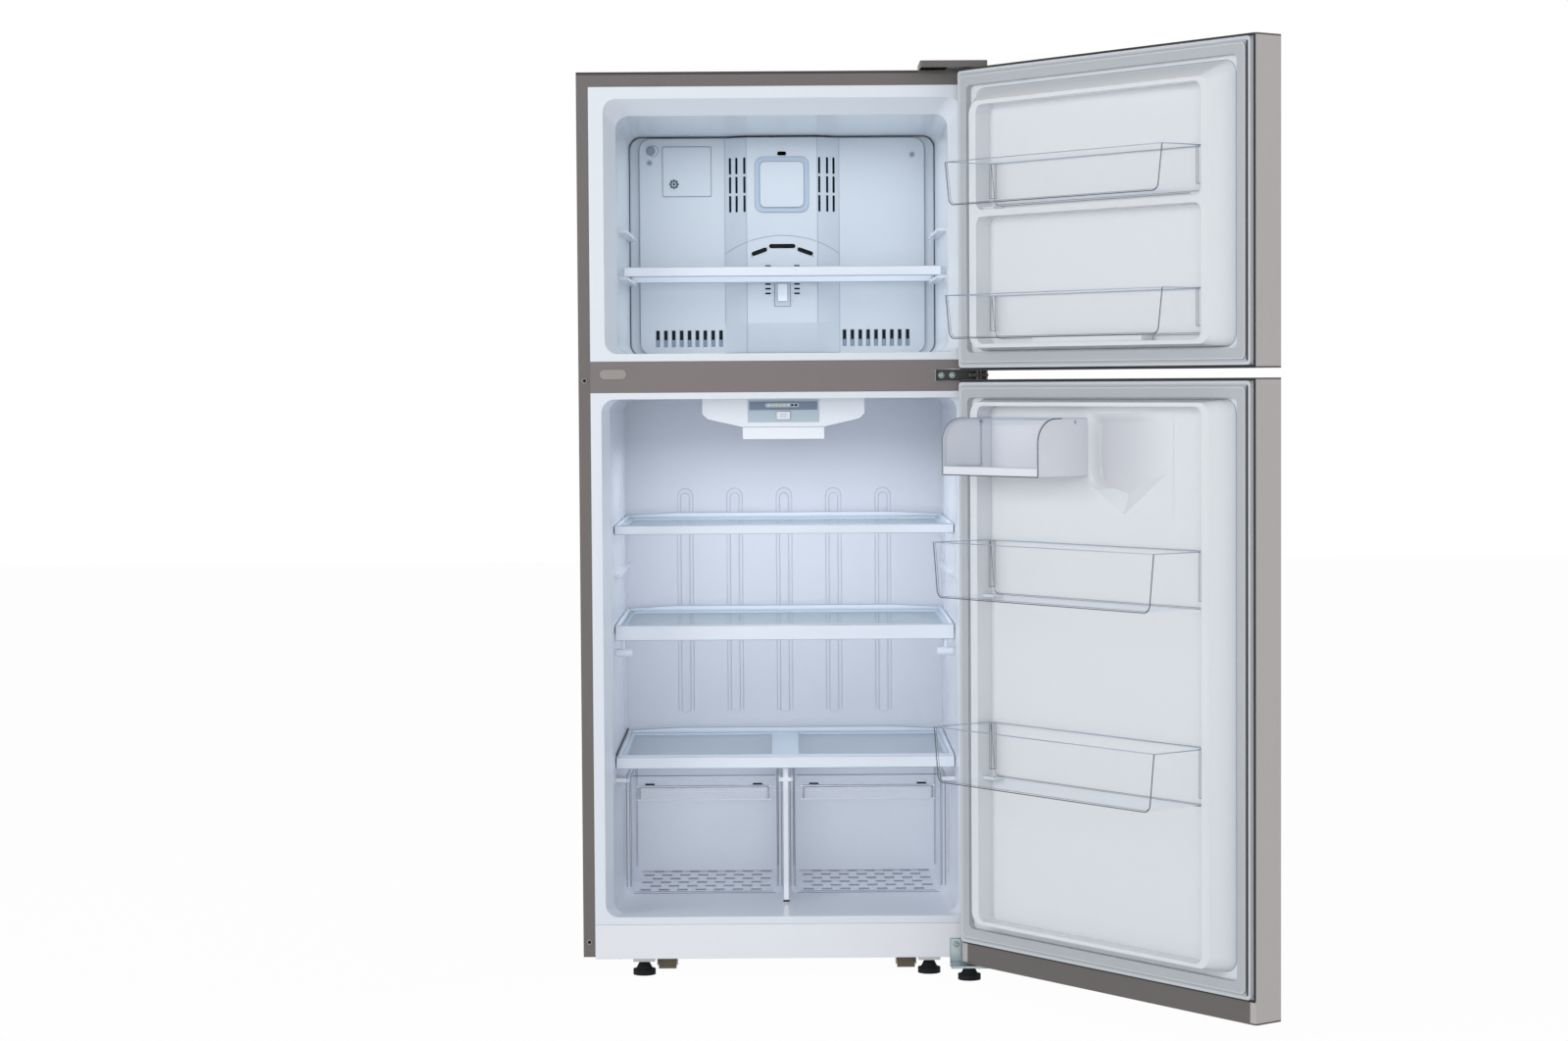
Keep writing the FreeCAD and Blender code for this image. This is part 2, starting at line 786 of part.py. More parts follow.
def make_wrapper():
    """The folded steel case: two sides and a top with a flange turned in at the front."""
    body = new_body("cabinet_wrapper")
    legs = [
        (f"-{HALF_CASE}", "cabinet_base"),
        (f"-{HALF_CASE}", "cabinet_top"),
        (HALF_CASE, "cabinet_top"),
        (HALF_CASE, "cabinet_base"),
    ]
    for name, depth, thick in (
        ("shell", "cabinet_depth", "case_sheet"), ("flange", "case_sheet", "flange_width")
    ):
        inner = [
            (f"{HALF_CASE} - {thick}", "cabinet_base"),
            (f"{HALF_CASE} - {thick}", f"cabinet_top - {thick}"),
            (f"{thick} - {HALF_CASE}", f"cabinet_top - {thick}"),
            (f"{thick} - {HALF_CASE}", "cabinet_base"),
        ]
        prism(body, name, "y", ("0", depth), legs + inner)
    return body


def make_rear_panel():
    body = new_body("rear_panel")
    block(
        body,
        "sheet",
        both_ways(INSIDE_CASE),
        ("cabinet_depth - case_sheet", "cabinet_depth"),
        (MACHINE_TOP, "cabinet_top - case_sheet"),
    )
    return body


def make_base_deck():
    """The steel floor of the cabinet, stepped up over the machine compartment."""
    body = new_body("base_deck")
    steps = [
        ("liner_wall", "cabinet_base"),
        (MACHINE_FRONT, "cabinet_base"),
        (MACHINE_FRONT, f"{MACHINE_TOP} - case_sheet"),
        ("cabinet_depth - case_sheet", f"{MACHINE_TOP} - case_sheet"),
        ("cabinet_depth - case_sheet", MACHINE_TOP),
        (f"{MACHINE_FRONT} - case_sheet", MACHINE_TOP),
        (f"{MACHINE_FRONT} - case_sheet", "cabinet_base + case_sheet"),
        ("liner_wall", "cabinet_base + case_sheet"),
    ]
    prism(body, "deck", "x", both_ways(INSIDE_CASE), steps)
    return body


def foam_slab(name, x, y, z, front=None):
    """One straight-sided block of foam, or a wedge that narrows to the spans in front."""
    if front is None:
        slab = document.addObject("Part::Box", name)
        for letter, side, (low, high) in (("x", "Length", x), ("y", "Width", y), ("z", "Height", z)):
            bind(slab, **{side: f"({high}) - ({low})", f"Placement__Base__{letter}": low})
        return slab
    slab = document.addObject("Part::Wedge", name)
    front_x, front_z = front
    bind(
        slab,
        Ymin=y[0],
        Ymax=y[1],
        Xmin=front_x[0],
        Xmax=front_x[1],
        Zmin=front_z[0],
        Zmax=front_z[1],
        X2min=x[0],
        X2max=x[1],
        Z2min=z[0],
        Z2max=z[1],
    )
    return slab


def make_foam():
    """Rigid foam between the case and the liners, poured as slabs that meet at the corners."""
    throat = "(throat_depth + liner_wall)"
    outer = INSIDE_CASE
    back = f"({LINER_BACK} + liner_wall)"
    freezer = f"({FREEZER_HALF} + liner_wall)"
    freezer_front = f"({FREEZER_HALF} + freezer_side_bevel + liner_wall)"
    fridge = f"({FRIDGE_HALF} + liner_wall)"
    fridge_front = f"({FRIDGE_HALF} + fridge_side_bevel + liner_wall)"
    roof = f"({FREEZER_CEILING} + liner_wall)"
    roof_front = f"({FREEZER_CEILING} + freezer_roof_bevel + liner_wall)"
    top = "(cabinet_top - case_sheet)"
    split = f"({FRIDGE_CEILING} + liner_wall)"
    floor = "(cabinet_base + case_sheet)"
    deck = f"({MACHINE_FRONT} - case_sheet)"
    slabs = []
    for side, low, high in (("left", "-", ""), ("right", "", "-")):
        flip = side == "left"

        def reach(inner):
            return (f"-{outer}", f"-{inner}") if flip else (inner, outer)

        slabs += [
            foam_slab(f"foam_freezer_{side}", reach(freezer), (throat, back), (split, top)),
            foam_slab(
                f"foam_freezer_front_{side}",
                reach(freezer),
                ("liner_wall", throat),
                (split, top),
                (reach(freezer_front), (split, top)),
            ),
            foam_slab(f"foam_fridge_{side}", reach(fridge), (throat, back), (MACHINE_TOP, split)),
            foam_slab(f"foam_fridge_low_{side}", reach(fridge), (throat, deck), (floor, MACHINE_TOP)),
            foam_slab(
                f"foam_fridge_front_{side}",
                reach(fridge),
                ("liner_wall", throat),
                (floor, split),
                (reach(fridge_front), (floor, split)),
            ),
        ]
    slabs += [
        foam_slab("foam_top", both_ways(freezer), (throat, back), (roof, top)),
        foam_slab(
            "foam_top_front",
            both_ways(freezer),
            ("liner_wall", throat),
            (roof, top),
            (both_ways(freezer_front), (roof_front, top)),
        ),
        foam_slab(
            "foam_mullion",
            both_ways(freezer),
            (throat, back),
            (split, f"{FREEZER_FLOOR} - liner_wall"),
        ),
        foam_slab(
            "foam_mullion_front",
            both_ways(freezer),
            ("liner_wall", throat),
            (split, f"{FREEZER_FLOOR} - liner_wall"),
            (both_ways(freezer_front), (split, f"{FREEZER_FLOOR} - liner_wall")),
        ),
        foam_slab("foam_back", both_ways(outer), (back, "cabinet_depth - case_sheet"), (MACHINE_TOP, top)),
        foam_slab(
            "foam_floor",
            both_ways(fridge),
            (throat, f"{HUMP_FRONT} + liner_wall"),
            (floor, "fridge_floor - liner_wall"),
        ),
        foam_slab(
            "foam_floor_front",
            both_ways(fridge),
            ("liner_wall", throat),
            (floor, "fridge_floor - liner_wall"),
            (both_ways(fridge_front), (floor, "fridge_floor - liner_wall")),
        ),
        foam_slab(
            "foam_hump_front", both_ways(fridge), (f"{HUMP_FRONT} + liner_wall", deck), (floor, MACHINE_TOP)
        ),
        foam_slab(
            "foam_hump_top",
            both_ways(fridge),
            (f"{HUMP_FRONT} + liner_wall", back),
            (MACHINE_TOP, f"{HUMP_TOP} - liner_wall"),
        ),
    ]
    foam = document.addObject("Part::Compound", "cabinet_foam")
    foam.Links = slabs
    foam.Label = "cabinet_foam"
    nodes.append(foam)
    return foam


def liner_cavity(body, name, half, bevel, low, high, roof_bevel, grow, cut):
    """The compartment's form: a bevelled throat at the front and straight walls behind it."""
    radius = "corner_radius"
    side = f"({half} + {grow})"
    opening = f"({half} + {bevel} + {grow})"
    span = (f"{low} - {grow}", f"{high} + {grow}")
    opened = (f"{low} - {grow}", f"{high} + {roof_bevel} + {grow}")
    stations = [
        ("0", (both_ways(opening), opened, radius)),
        ("throat_depth", (both_ways(side), span, radius)),
    ]
    loft(body, name + "_throat", "y", stations, cut)
    reach = ("throat_depth", f"{LINER_BACK} + {grow}")
    rounded_slab(body, name, "y", reach, both_ways(side), span, radius, cut)


def add_ledges(body, half, reach, span, levels):
    """Ledges along both side walls, as deep as the liner's walls are far from the half width."""
    for number, level in enumerate(levels):
        for side, sign in (("left", "-"), ("right", "")):
            ends = (f"{sign}({half} - {reach})", f"{sign}({half} + liner_wall / 2)")
            x = ends if sign == "" else ends[::-1]
            block(body, f"ledge_{side}_{number}", x, span, (f"({level}) - ledge_height", level))


def make_freezer_liner():
    body = new_body("freezer_liner")
    rim = (MULLION_HIGH, "cabinet_top - flange_width")
    block(body, "rim", both_ways(INSIDE_FLANGE), ("0", "liner_wall"), rim)
    form = (FREEZER_HALF, "freezer_side_bevel", FREEZER_FLOOR, FREEZER_CEILING, "freezer_roof_bevel")
    liner_cavity(body, "outer", *form, "liner_wall", False)
    liner_cavity(body, "inner", *form, "0", True)
    levels = ["freezer_shelf_top - freezer_shelf_trim", "spare_ledge"]
    span = ("freezer_shelf_front + freezer_ledge_setback", FREEZER_SHELF_BACK)
    add_ledges(body, FREEZER_HALF, "freezer_ledge_reach", span, levels)
    return body


def make_fridge_liner():
    """The lower liner, with a raised floor over the machine compartment and ribs in its back."""
    body = new_body("fridge_liner")
    block(body, "rim", both_ways(INSIDE_FLANGE), ("0", "liner_wall"), (TOE_TOP, MULLION_LOW))
    form = (FRIDGE_HALF, "fridge_side_bevel", "fridge_floor", FRIDGE_CEILING, "0")
    liner_cavity(body, "outer", *form, "liner_wall", False)
    liner_cavity(body, "inner", *form, "0", True)
    behind = f"{LINER_BACK} + liner_wall"
    wide = both_ways(f"({FRIDGE_HALF} + liner_wall)")
    low = "fridge_floor - liner_wall"
    block(body, "hump", wide, (HUMP_FRONT, behind), (low, HUMP_TOP))
    block(
        body,
        "hump_room",
        wide,
        (f"{HUMP_FRONT} + liner_wall", behind),
        (low, f"{HUMP_TOP} - liner_wall"),
        cut=True,
    )
    levels = [
        "upper_shelf_top - frame_height",
        "lower_shelf_top - frame_height",
        "crisper_cover_top - frame_height",
        "middle_ledge",
    ]
    span = ("fridge_shelf_front + ledge_setback", f"{FRIDGE_SHELF_BACK} - ledge_setback")
    add_ledges(body, FRIDGE_HALF, "fridge_ledge_reach", span, levels)
    for side, sign in (("left", "-"), ("right", "")):
        ends = (f"{sign}({FRIDGE_HALF} - post_proud)", f"{sign}({FRIDGE_HALF} + liner_wall / 2)")
        x = ends if sign == "" else ends[::-1]
        rounded_slab(
            body,
            f"post_{side}",
            "x",
            x,
            ("post_front", "post_back"),
            ("post_low", "post_high"),
            "post_corner",
        )
    first = f"0 - {RIB_COUNT // 2} * rib_pitch"
    rib = rounded_slab(
        body,
        "rib",
        "y",
        (LINER_BACK, f"{LINER_BACK} + rib_depth"),
        (f"{first} - rib_width / 2", f"{first} + rib_width / 2"),
        ("rib_low", "rib_high"),
        "rib_width / 2 - rib_relief",
        cut=True,
    )
    row_of(body, rib, "x", "rib_pitch", RIB_COUNT)
    return body


# ---------------------------------------------------------------- trims on the cabinet's front


def make_mullion_rail():
    body = new_body("mullion_rail")
    block(body, "rail", both_ways(INSIDE_FLANGE), ("0", "liner_wall"), (MULLION_LOW, MULLION_HIGH))
    return body


def make_front_trims():
    """The plug in the mullion for a second hinge and the screw heads on the flange."""
    body = new_body("front_trims")
    rounded_slab(
        body,
        "hinge_plug",
        "y",
        ("0 - plug_proud", "0"),
        ("plug_left", "plug_left + plug_length"),
        ("mullion_middle + plug_rise - plug_height / 2", "mullion_middle + plug_rise + plug_height / 2"),
        "plug_height / 2 - rib_relief",
    )
    for name, level in (("upper", "flange_screw_high"), ("lower", "flange_screw_low")):
        centre = (f"flange_width / 2 - {HALF_CASE}", "0 - screw_head_height", level)
        rod(body, f"{name}_screw", "y", centre, "screw_head_radius", "screw_head_height")
    return body


def make_toe_panel():
    body = new_body("toe_panel")
    block(body, "plate", both_ways(INSIDE_FLANGE), ("0", "case_sheet"), ("toe_low", TOE_TOP))
    block(
        body, "lip", both_ways(INSIDE_FLANGE), ("case_sheet", "toe_lip"), ("toe_low", "toe_low + case_sheet")
    )
    return body


def make_top_trim():
    body = new_body("top_edge_trim")
    span = (f"0 - {HALF_CASE}", "hinge_cover_left - hinge_cover_gap")
    block(body, "strip", span, ("0", "top_trim_depth"), ("cabinet_top", "cabinet_top + top_trim_height"))
    return body


# ---------------------------------------------------------------- freezer compartment

COVER_BACK = "(cover_front + cover_step + cover_wall)"
FREEZER_SHELF_BACK = "(cover_front - duct_depth - shelf_rear_gap)"
FRIDGE_SHELF_BACK = "(cabinet_depth - case_sheet - back_foam - liner_wall - shelf_rear_gap)"
DUCT_FRONT = "(cover_front - duct_depth)"
SLIDER_MIDDLE = "(slider_low + slider_height / 2)"


def duct_section(inset, spread="0"):
    """The duct's outline across: a flat front between two sloping sides, open at the back."""
    side = f"(duct_half - {inset} + {spread})"
    flat = f"(duct_flat_half - {inset} / 2 + {spread})"
    behind = "(cover_front + cover_wall)" if inset == "0" else COVER_BACK
    return [
        (f"0 - {side}", behind),
        (f"0 - {side}", f"cover_front + {inset}"),
        (f"0 - {flat}", f"{DUCT_FRONT} + {inset}"),
        (flat, f"{DUCT_FRONT} + {inset}"),
        (side, f"cover_front + {inset}"),
        (side, behind),
    ]


def foot_section(inset, spread="0"):
    """The duct's outline at its lower end, where it has sunk back to the panel."""
    points = duct_section(inset, spread)
    depth = f"cover_front + {inset} - duct_toe"
    return [(across, depth if DUCT_FRONT in up else up) for across, up in points]


def make_evaporator_cover():
    """The moulded panel in front of the evaporator, with its central air duct and all its vents."""
    body = new_body("evaporator_cover")
    bottom = FREEZER_FLOOR
    top = f"({FREEZER_CEILING} - cover_slack)"
    half = f"({FREEZER_HALF} - cover_slack)"
    panel = (both_ways("cover_half"), (f"{bottom} + cover_border", f"{top} - cover_border"), "corner_radius")
    inner = (
        both_ways("(cover_half - cover_wall)"),
        (f"{bottom} + cover_border + cover_wall", f"{top} - cover_border - cover_wall"),
        "corner_radius - cover_wall",
    )
    rounded_slab(
        body,
        "border",
        "y",
        ("cover_front + cover_step", COVER_BACK),
        both_ways(half),
        (bottom, top),
        "corner_radius",
    )
    rounded_slab(body, "panel", "y", ("cover_front", COVER_BACK), *panel)
    rounded_slab(body, "panel_back", "y", ("cover_front + cover_wall", COVER_BACK), *inner, cut=True)
    high = f"({top} - cover_border)"
    low = f"({bottom} + cover_border + cover_wall)"
    loft(body, "duct", "z", [("duct_foot_top", duct_section("0")), (high, duct_section("0"))])
    loft(body, "duct_foot", "z", [(low, foot_section("0")), ("duct_foot_top", duct_section("0"))])
    room = f"({high} - cover_wall)"
    loft(
        body,
        "duct_room",
        "z",
        [("duct_foot_top", duct_section("cover_wall")), (room, duct_section("cover_wall"))],
        cut=True,
    )
    loft(
        body,
        "duct_foot_room",
        "z",
        [(f"{low} + cover_wall", foot_section("cover_wall")), ("duct_foot_top", duct_section("cover_wall"))],
        cut=True,
    )
    through = (f"{DUCT_FRONT} - cover_wall", COVER_BACK)
    for side in ("-", ""):
        for number, column in enumerate(("louvre_near", "louvre_middle", "louvre_far")):
            name = f"louvre_{'left' if side else 'right'}_{number}"
            middle = f"({side}{column})"
            span = (f"{middle} - louvre_width / 2", f"{middle} + louvre_width / 2")
            slot = block(body, name, span, through, ("louvre_low", "louvre_low + louvre_height"), cut=True)
            row_of(body, slot, "z", "louvre_pitch", LOUVRE_COUNT)
        far = f"0 - grille_inner - {GRILLE_COUNT - 1} * grille_pitch - grille_width"
        start = far if side else "grille_inner"
        name = f"grille_{'left' if side else 'right'}"
        span = (start, f"{start} + grille_width")
        slot = block(body, name, span, through, ("grille_low", "grille_high"), cut=True)
        row_of(body, slot, "x", "grille_pitch", GRILLE_COUNT)
        start = "small_slot_inner" if not side else "0 - small_slot_inner - small_slot_length"
        span = (start, f"{start} + small_slot_length")
        name = f"small_slot_{'left' if side else 'right'}"
        front = (f"{DUCT_FRONT} - cover_wall", "cover_front")
        slot = block(
            body, name, span, front, ("small_slot_low", "small_slot_low + small_slot_height"), cut=True
        )
        row_of(body, slot, "z", "small_slot_pitch", SMALL_SLOT_COUNT)
        lone = ("small_slot_high", "small_slot_high + small_slot_height")
        block(body, name + "_high", span, front, lone, cut=True)
    front = (f"{DUCT_FRONT} - cover_wall", "cover_front")
    add_arc_vents(body, front)
    oval = ("oval_middle - oval_height / 2", "oval_middle + oval_height / 2")
    rounded_slab(
        body,
        "oval",
        "y",
        front,
        both_ways("(oval_length / 2)"),
        oval,
        "oval_height / 2 - rib_relief",
        cut=True,
    )
    recess = (DUCT_FRONT, f"{DUCT_FRONT} + slider_recess_depth")
    block(
        body,
        "slider_recess",
        both_ways("slider_recess_half"),
        recess,
        ("slider_recess_low", "slider_recess_high"),
        cut=True,
    )
    slot = (f"{SLIDER_MIDDLE} - slider_slot_half", f"{SLIDER_MIDDLE} + slider_slot_half")
    block(body, "slider_slot", both_ways("(slider_stem_half + slider_gap)"), front, slot, cut=True)
    return body


def add_arc_vents(body, span):
    """Three vents that follow one shallow arch over the duct's front."""
    middle = [
        ("0 - vent_middle_half", "vent_level - vent_height / 2"),
        ("0", "vent_level - vent_height / 2 + vent_bow"),
        ("vent_middle_half", "vent_level - vent_height / 2"),
        ("vent_middle_half", "vent_level + vent_height / 2"),
        ("0", "vent_level + vent_height / 2 + vent_bow"),
        ("0 - vent_middle_half", "vent_level + vent_height / 2"),
    ]
    prism(body, "vent_middle", "y", span, middle, cut=True)
    for name, sign in (("vent_left", "-"), ("vent_right", "")):
        outer = [
            (f"{sign}vent_outer_start", "vent_level - vent_height - vent_bow"),
            (f"{sign}vent_outer_end", "vent_level - vent_height - vent_drop"),
            (f"{sign}vent_outer_end", "vent_level - vent_drop"),
            (f"{sign}vent_outer_start", "vent_level - vent_bow"),
        ]
        prism(body, name, "y", span, outer, cut=True)


def make_cover_trims():
    """The bare pad on the duct, the ice maker's port cover with its star of holes, and the fixings."""
    body = new_body("evaporator_cover_trims")
    body.Placement = Placement()
    for letter, place in (("x", "star_x"), ("z", "star_z")):
        body.setExpression(f"Placement.Base.{letter}", tied(place))
    front = ("cover_front - port_thickness", "cover_front")
    rounded_slab(
        body,
        "port_cover",
        "y",
        front,
        ("port_left - star_x", "port_left + port_width - star_x"),
        ("port_low - star_z", "port_low + port_height - star_z"),
        "port_corner",
    )
    hole = rod(
        body,
        "star_hole",
        "y",
        ("star_radius", "cover_front - port_thickness", "0"),
        "star_hole_radius",
        "port_thickness",
        cut=True,
    )
    ring_of(body, hole, "y", STAR_POINTS)
    rod(
        body,
        "star_middle",
        "y",
        ("0", "cover_front - port_thickness", "0"),
        "star_hole_radius",
        "port_thickness",
        cut=True,
    )
    pad_x = ("0 - pad_half - star_x", "pad_half - star_x")
    pad_z = ("pad_low - star_z", "pad_high - star_z")
    rounded_slab(
        body, "pad_frame", "y", (f"{DUCT_FRONT} - pad_thickness", DUCT_FRONT), pad_x, pad_z, "pad_corner"
    )
    face_x = ("0 - pad_half + pad_border - star_x", "pad_half - pad_border - star_x")
    face_z = ("pad_low + pad_border - star_z", "pad_high - pad_border - star_z")
    face = (f"{DUCT_FRONT} - pad_thickness - pad_rise", f"{DUCT_FRONT} - pad_thickness")
    rounded_slab(body, "pad_face", "y", face, face_x, face_z, "pad_corner - pad_border / 2")
    spots = [
        ("round_plug", "round_plug_x", "round_plug_z", "round_plug_radius"),
        ("screw_left", "cover_screw_left_x", "cover_screw_left_z", "screw_head_radius"),
        ("screw_right", "cover_screw_right_x", "cover_screw_right_z", "screw_head_radius"),
    ]
    for name, x, z, radius in spots:
        centre = (f"{x} - star_x", "cover_front - screw_head_height", f"{z} - star_z")
        rod(body, name, "y", centre, radius, "screw_head_height")
    return body


def make_slider():
    """The air slider: a knob in front of the duct and a stem through its slot."""
    body = new_body("freezer_slider")
    knob = (f"{DUCT_FRONT} - slider_proud", f"{DUCT_FRONT} + slider_recess_depth - slider_gap")
    rounded_slab(
        body,
        "knob",
        "y",
        knob,
        both_ways("slider_half"),
        ("slider_low", "slider_low + slider_height"),
        "slider_corner",
    )
    stem = (
        f"{DUCT_FRONT} + slider_recess_depth - slider_gap", f"{DUCT_FRONT} + cover_wall + slider_stem_reach"
    )
    stem_z = (f"{SLIDER_MIDDLE} - slider_stem_half", f"{SLIDER_MIDDLE} + slider_stem_half")
    block(body, "stem", both_ways("slider_stem_half"), stem, stem_z)
    return body


def make_evaporator():
    """The fin-and-tube coil behind the cover."""
    body = new_body("evaporator")
    half = "(coil_length / 2)"
    coil_y = ("coil_front", "coil_front + coil_depth")
    coil_z = ("coil_low", "coil_low + coil_height")
    fin = block(body, "fin", (f"0 - {half}", f"0 - {half} + fin_thickness"), coil_y, coil_z)
    row_of(body, fin, "x", f"(coil_length - fin_thickness) / {FIN_COUNT - 1}", FIN_COUNT)
    for column, y in enumerate(("coil_front + coil_depth / 4", "coil_front + 3 * coil_depth / 4")):
        centre = (f"0 - {half} - coil_overhang", y, "coil_low + coil_height / 8")
        tube = rod(
            body, f"tube_{column}", "x", centre, "coil_tube_radius", "coil_length + 2 * coil_overhang"
        )
        row_of(body, tube, "z", f"coil_height / {TUBE_ROWS}", TUBE_ROWS)
    for side, x in (
        ("left", f"0 - {half} - coil_overhang"), ("right", f"{half} + coil_overhang - coil_header")
    ):
        header_y = (
            "coil_front + coil_depth / 4 - coil_tube_radius",
            "coil_front + 3 * coil_depth / 4 + coil_tube_radius",
        )
        block(body, f"header_{side}", (x, f"{x} + coil_header"), header_y, coil_z)
        ear_y = ("coil_front + coil_depth / 2", LINER_BACK)
        block(
            body, f"ear_{side}", (x, f"{x} + coil_header"), ear_y, ("coil_low", "coil_low + coil_overhang")
        )
    start = "evaporator_fan_front + fan_depth + fan_end_gap"
    centre = ("0", start, "evaporator_fan_level")
    rod(body, "fan_motor", "y", centre, "fan_motor_radius", f"{LINER_BACK} - ({start})")
    centre = ("0", "evaporator_fan_front", "evaporator_fan_level")
    rod(body, "fan_shaft", "y", centre, "shaft_radius", "fan_depth + fan_end_gap")
    return body


def add_fan(label, axis, centre, radius, hub, depth):
    """A fan of slanted blades on a hub, in its own frame with the shaft through its origin."""
    body = new_body(label)
    turn = Rotation(Vector(1, 0, 0), -90) if axis == "y" else Rotation(Vector(0, 1, 0), 90)
    body.Placement = Placement(Vector(), turn)
    for letter, place in zip("xyz", centre):
        body.setExpression(f"Placement.Base.{letter}", tied(place))
    rod(body, "hub", "z", ("0", "0", "0"), hub, depth)
    rod(body, "bore", "z", ("0", "0", "0"), "shaft_radius + axle_clearance", depth, cut=True)
    blade = [
        ("0 - fan_blade_width / 2", "0"),
        ("fan_blade_thickness - fan_blade_width / 2", "0"),
        ("fan_blade_width / 2", depth),
        ("fan_blade_width / 2 - fan_blade_thickness", depth),
    ]
    pad = prism(body, "blade", "x", (f"{hub} - fan_blade_thickness", radius), blade)
    ring_of(body, pad, "z", FAN_BLADES)
    return body


def make_fans():
    middle = ("0", "evaporator_fan_front", "evaporator_fan_level")
    add_fan("evaporator_fan", "y", middle, "evaporator_fan_radius", "fan_hub_radius", "fan_depth")
    middle = ("condenser_fan_x", "condenser_fan_y", "condenser_fan_level")
    add_fan("condenser_fan", "x", middle, "condenser_fan_radius", "fan_hub_radius", "fan_depth")


# ---------------------------------------------------------------- shelves


def make_glass():
    """The four sheets of glass that the frames carry."""
    body = new_body("shelf_glass")
    half = f"({FREEZER_HALF} - shelf_side_gap)"
    z = ("freezer_shelf_top - glass_drop - glass_thickness", "freezer_shelf_top - glass_drop")
    reach = ("freezer_shelf_front + bar_depth / 2", f"{FREEZER_SHELF_BACK} - bar_depth / 2")
    block(body, "freezer_glass", both_ways(half), reach, z)
    half = f"({FRIDGE_HALF} - shelf_side_gap - glass_setback)"
    for name, top, front in (
        ("upper", "upper_shelf_top", "frame_lap"),
        ("lower", "lower_shelf_top", "frame_lap"),
        ("crisper", "crisper_cover_top", "sill_depth"),
    ):
        reach = (f"fridge_shelf_front + {front}", f"{FRIDGE_SHELF_BACK} - glass_setback")
        level = (f"{top} - glass_drop - glass_thickness", f"{top} - glass_drop")
        block(body, f"{name}_glass", both_ways(half), reach, level)
    return body


def make_freezer_shelf():
    """The bars that hold the freezer's glass along its front and back edges."""
    body = new_body("freezer_shelf_trim")
    bars = [
        ("front", ("freezer_shelf_front", "freezer_shelf_front + bar_depth")),
        ("rear", (f"{FREEZER_SHELF_BACK} - bar_depth", FREEZER_SHELF_BACK)),
    ]
    half = f"({FREEZER_HALF} - freezer_trim_inset)"
    for name, reach in bars:
        z = ("freezer_shelf_top - freezer_shelf_trim", "freezer_shelf_top")
        rounded_slab(body, name, "y", reach, both_ways(half), z, "trim_corner")
    z = (
        "freezer_shelf_top - glass_drop - glass_thickness - glass_gap",
        "freezer_shelf_top - glass_drop + glass_gap",
    )
    bite = "bar_depth / 2 - glass_gap"
    seat = (f"freezer_shelf_front + {bite}", f"{FREEZER_SHELF_BACK} - ({bite})")
    block(body, "glass_seat", both_ways(FREEZER_HALF), seat, z, cut=True)
    return body


def make_shelf_frame(label, top, trim, front):
    """A moulded frame round a sheet of glass, deeper along its front, with an arched stop behind."""
    body = new_body(label)
    half = f"({FRIDGE_HALF} - shelf_side_gap)"
    reach = ("fridge_shelf_front", FRIDGE_SHELF_BACK)
    block(body, "frame", both_ways(half), reach, (f"{top} - frame_height", top))
    nose = ("fridge_shelf_front", "fridge_shelf_front + bar_depth")
    block(body, "nose", both_ways(half), nose, (f"{top} - {trim}", top))
    stop = [
        (f"0 - {half}", top),
        (f"stop_slope - {half}", f"{top} + stop_height"),
        (f"{half} - stop_slope", f"{top} + stop_height"),
        (half, top),
    ]
    prism(body, "stop", "y", (f"{FRIDGE_SHELF_BACK} - stop_depth", FRIDGE_SHELF_BACK), stop)
    inner = both_ways(f"({half} - frame_side)")
    window = (f"fridge_shelf_front + {front} + seat_lap", f"{FRIDGE_SHELF_BACK} - frame_side")
    block(body, "window", inner, window, (f"{top} - frame_height", top), cut=True)
    seat_half = both_ways(f"({half} - glass_setback + glass_gap)")
    seat = (f"fridge_shelf_front + {front} - glass_gap", f"{FRIDGE_SHELF_BACK} - glass_setback + glass_gap")
    block(
        body,
        "seat",
        seat_half,
        seat,
        (f"{top} - glass_drop - glass_thickness", f"{top} + stop_height"),
        cut=True,
    )
    return body


def make_shelf_frames():
    make_shelf_frame("upper_shelf_frame", "upper_shelf_top", "thin_trim", "frame_lap")
    lower = make_shelf_frame("lower_shelf_frame", "lower_shelf_top", "deep_trim", "frame_lap")
    bottom = "(lower_shelf_top - deep_trim)"
    rods = []
    for side, sign in (("left", "-"), ("right", "")):
        low, high = f"{sign}(hanger_x - hanger_width / 2)", f"{sign}(hanger_x + hanger_width / 2)"
        x = (low, high) if not sign else (high, low)
        y = ("fridge_shelf_front + hanger_setback", "fridge_shelf_front + hanger_setback + hanger_width")
        block(lower, f"hanger_{side}", x, y, (f"{bottom} - hanger_drop", bottom))
        start = "hanger_inner" if not sign else "0 - hanger_inner - hanger_bar_length"
        centre = (start, "fridge_shelf_front + hanger_setback + hanger_width / 2", f"{bottom} - hanger_drop")
        rods.append(rod(lower, f"hanger_bar_{side}", "x", centre, "hanger_bar_radius", "hanger_bar_length"))
    cover = make_shelf_frame("crisper_cover_frame", "crisper_cover_top", "sill_trim", "sill_depth")
    beam = ("fridge_shelf_front + bar_depth", f"{FRIDGE_SHELF_BACK} - frame_side")
    level = ("crisper_cover_top - frame_height", "crisper_cover_top - glass_drop - glass_thickness")
    block(cover, "beam", both_ways("beam_half"), beam, level)
    return rods


# ---------------------------------------------------------------- crispers

CRISPER_LEDGE = "(crisper_top - crisper_rim - crisper_gap_under)"
CRISPER_BACK = "(fridge_shelf_front + crisper_depth)"


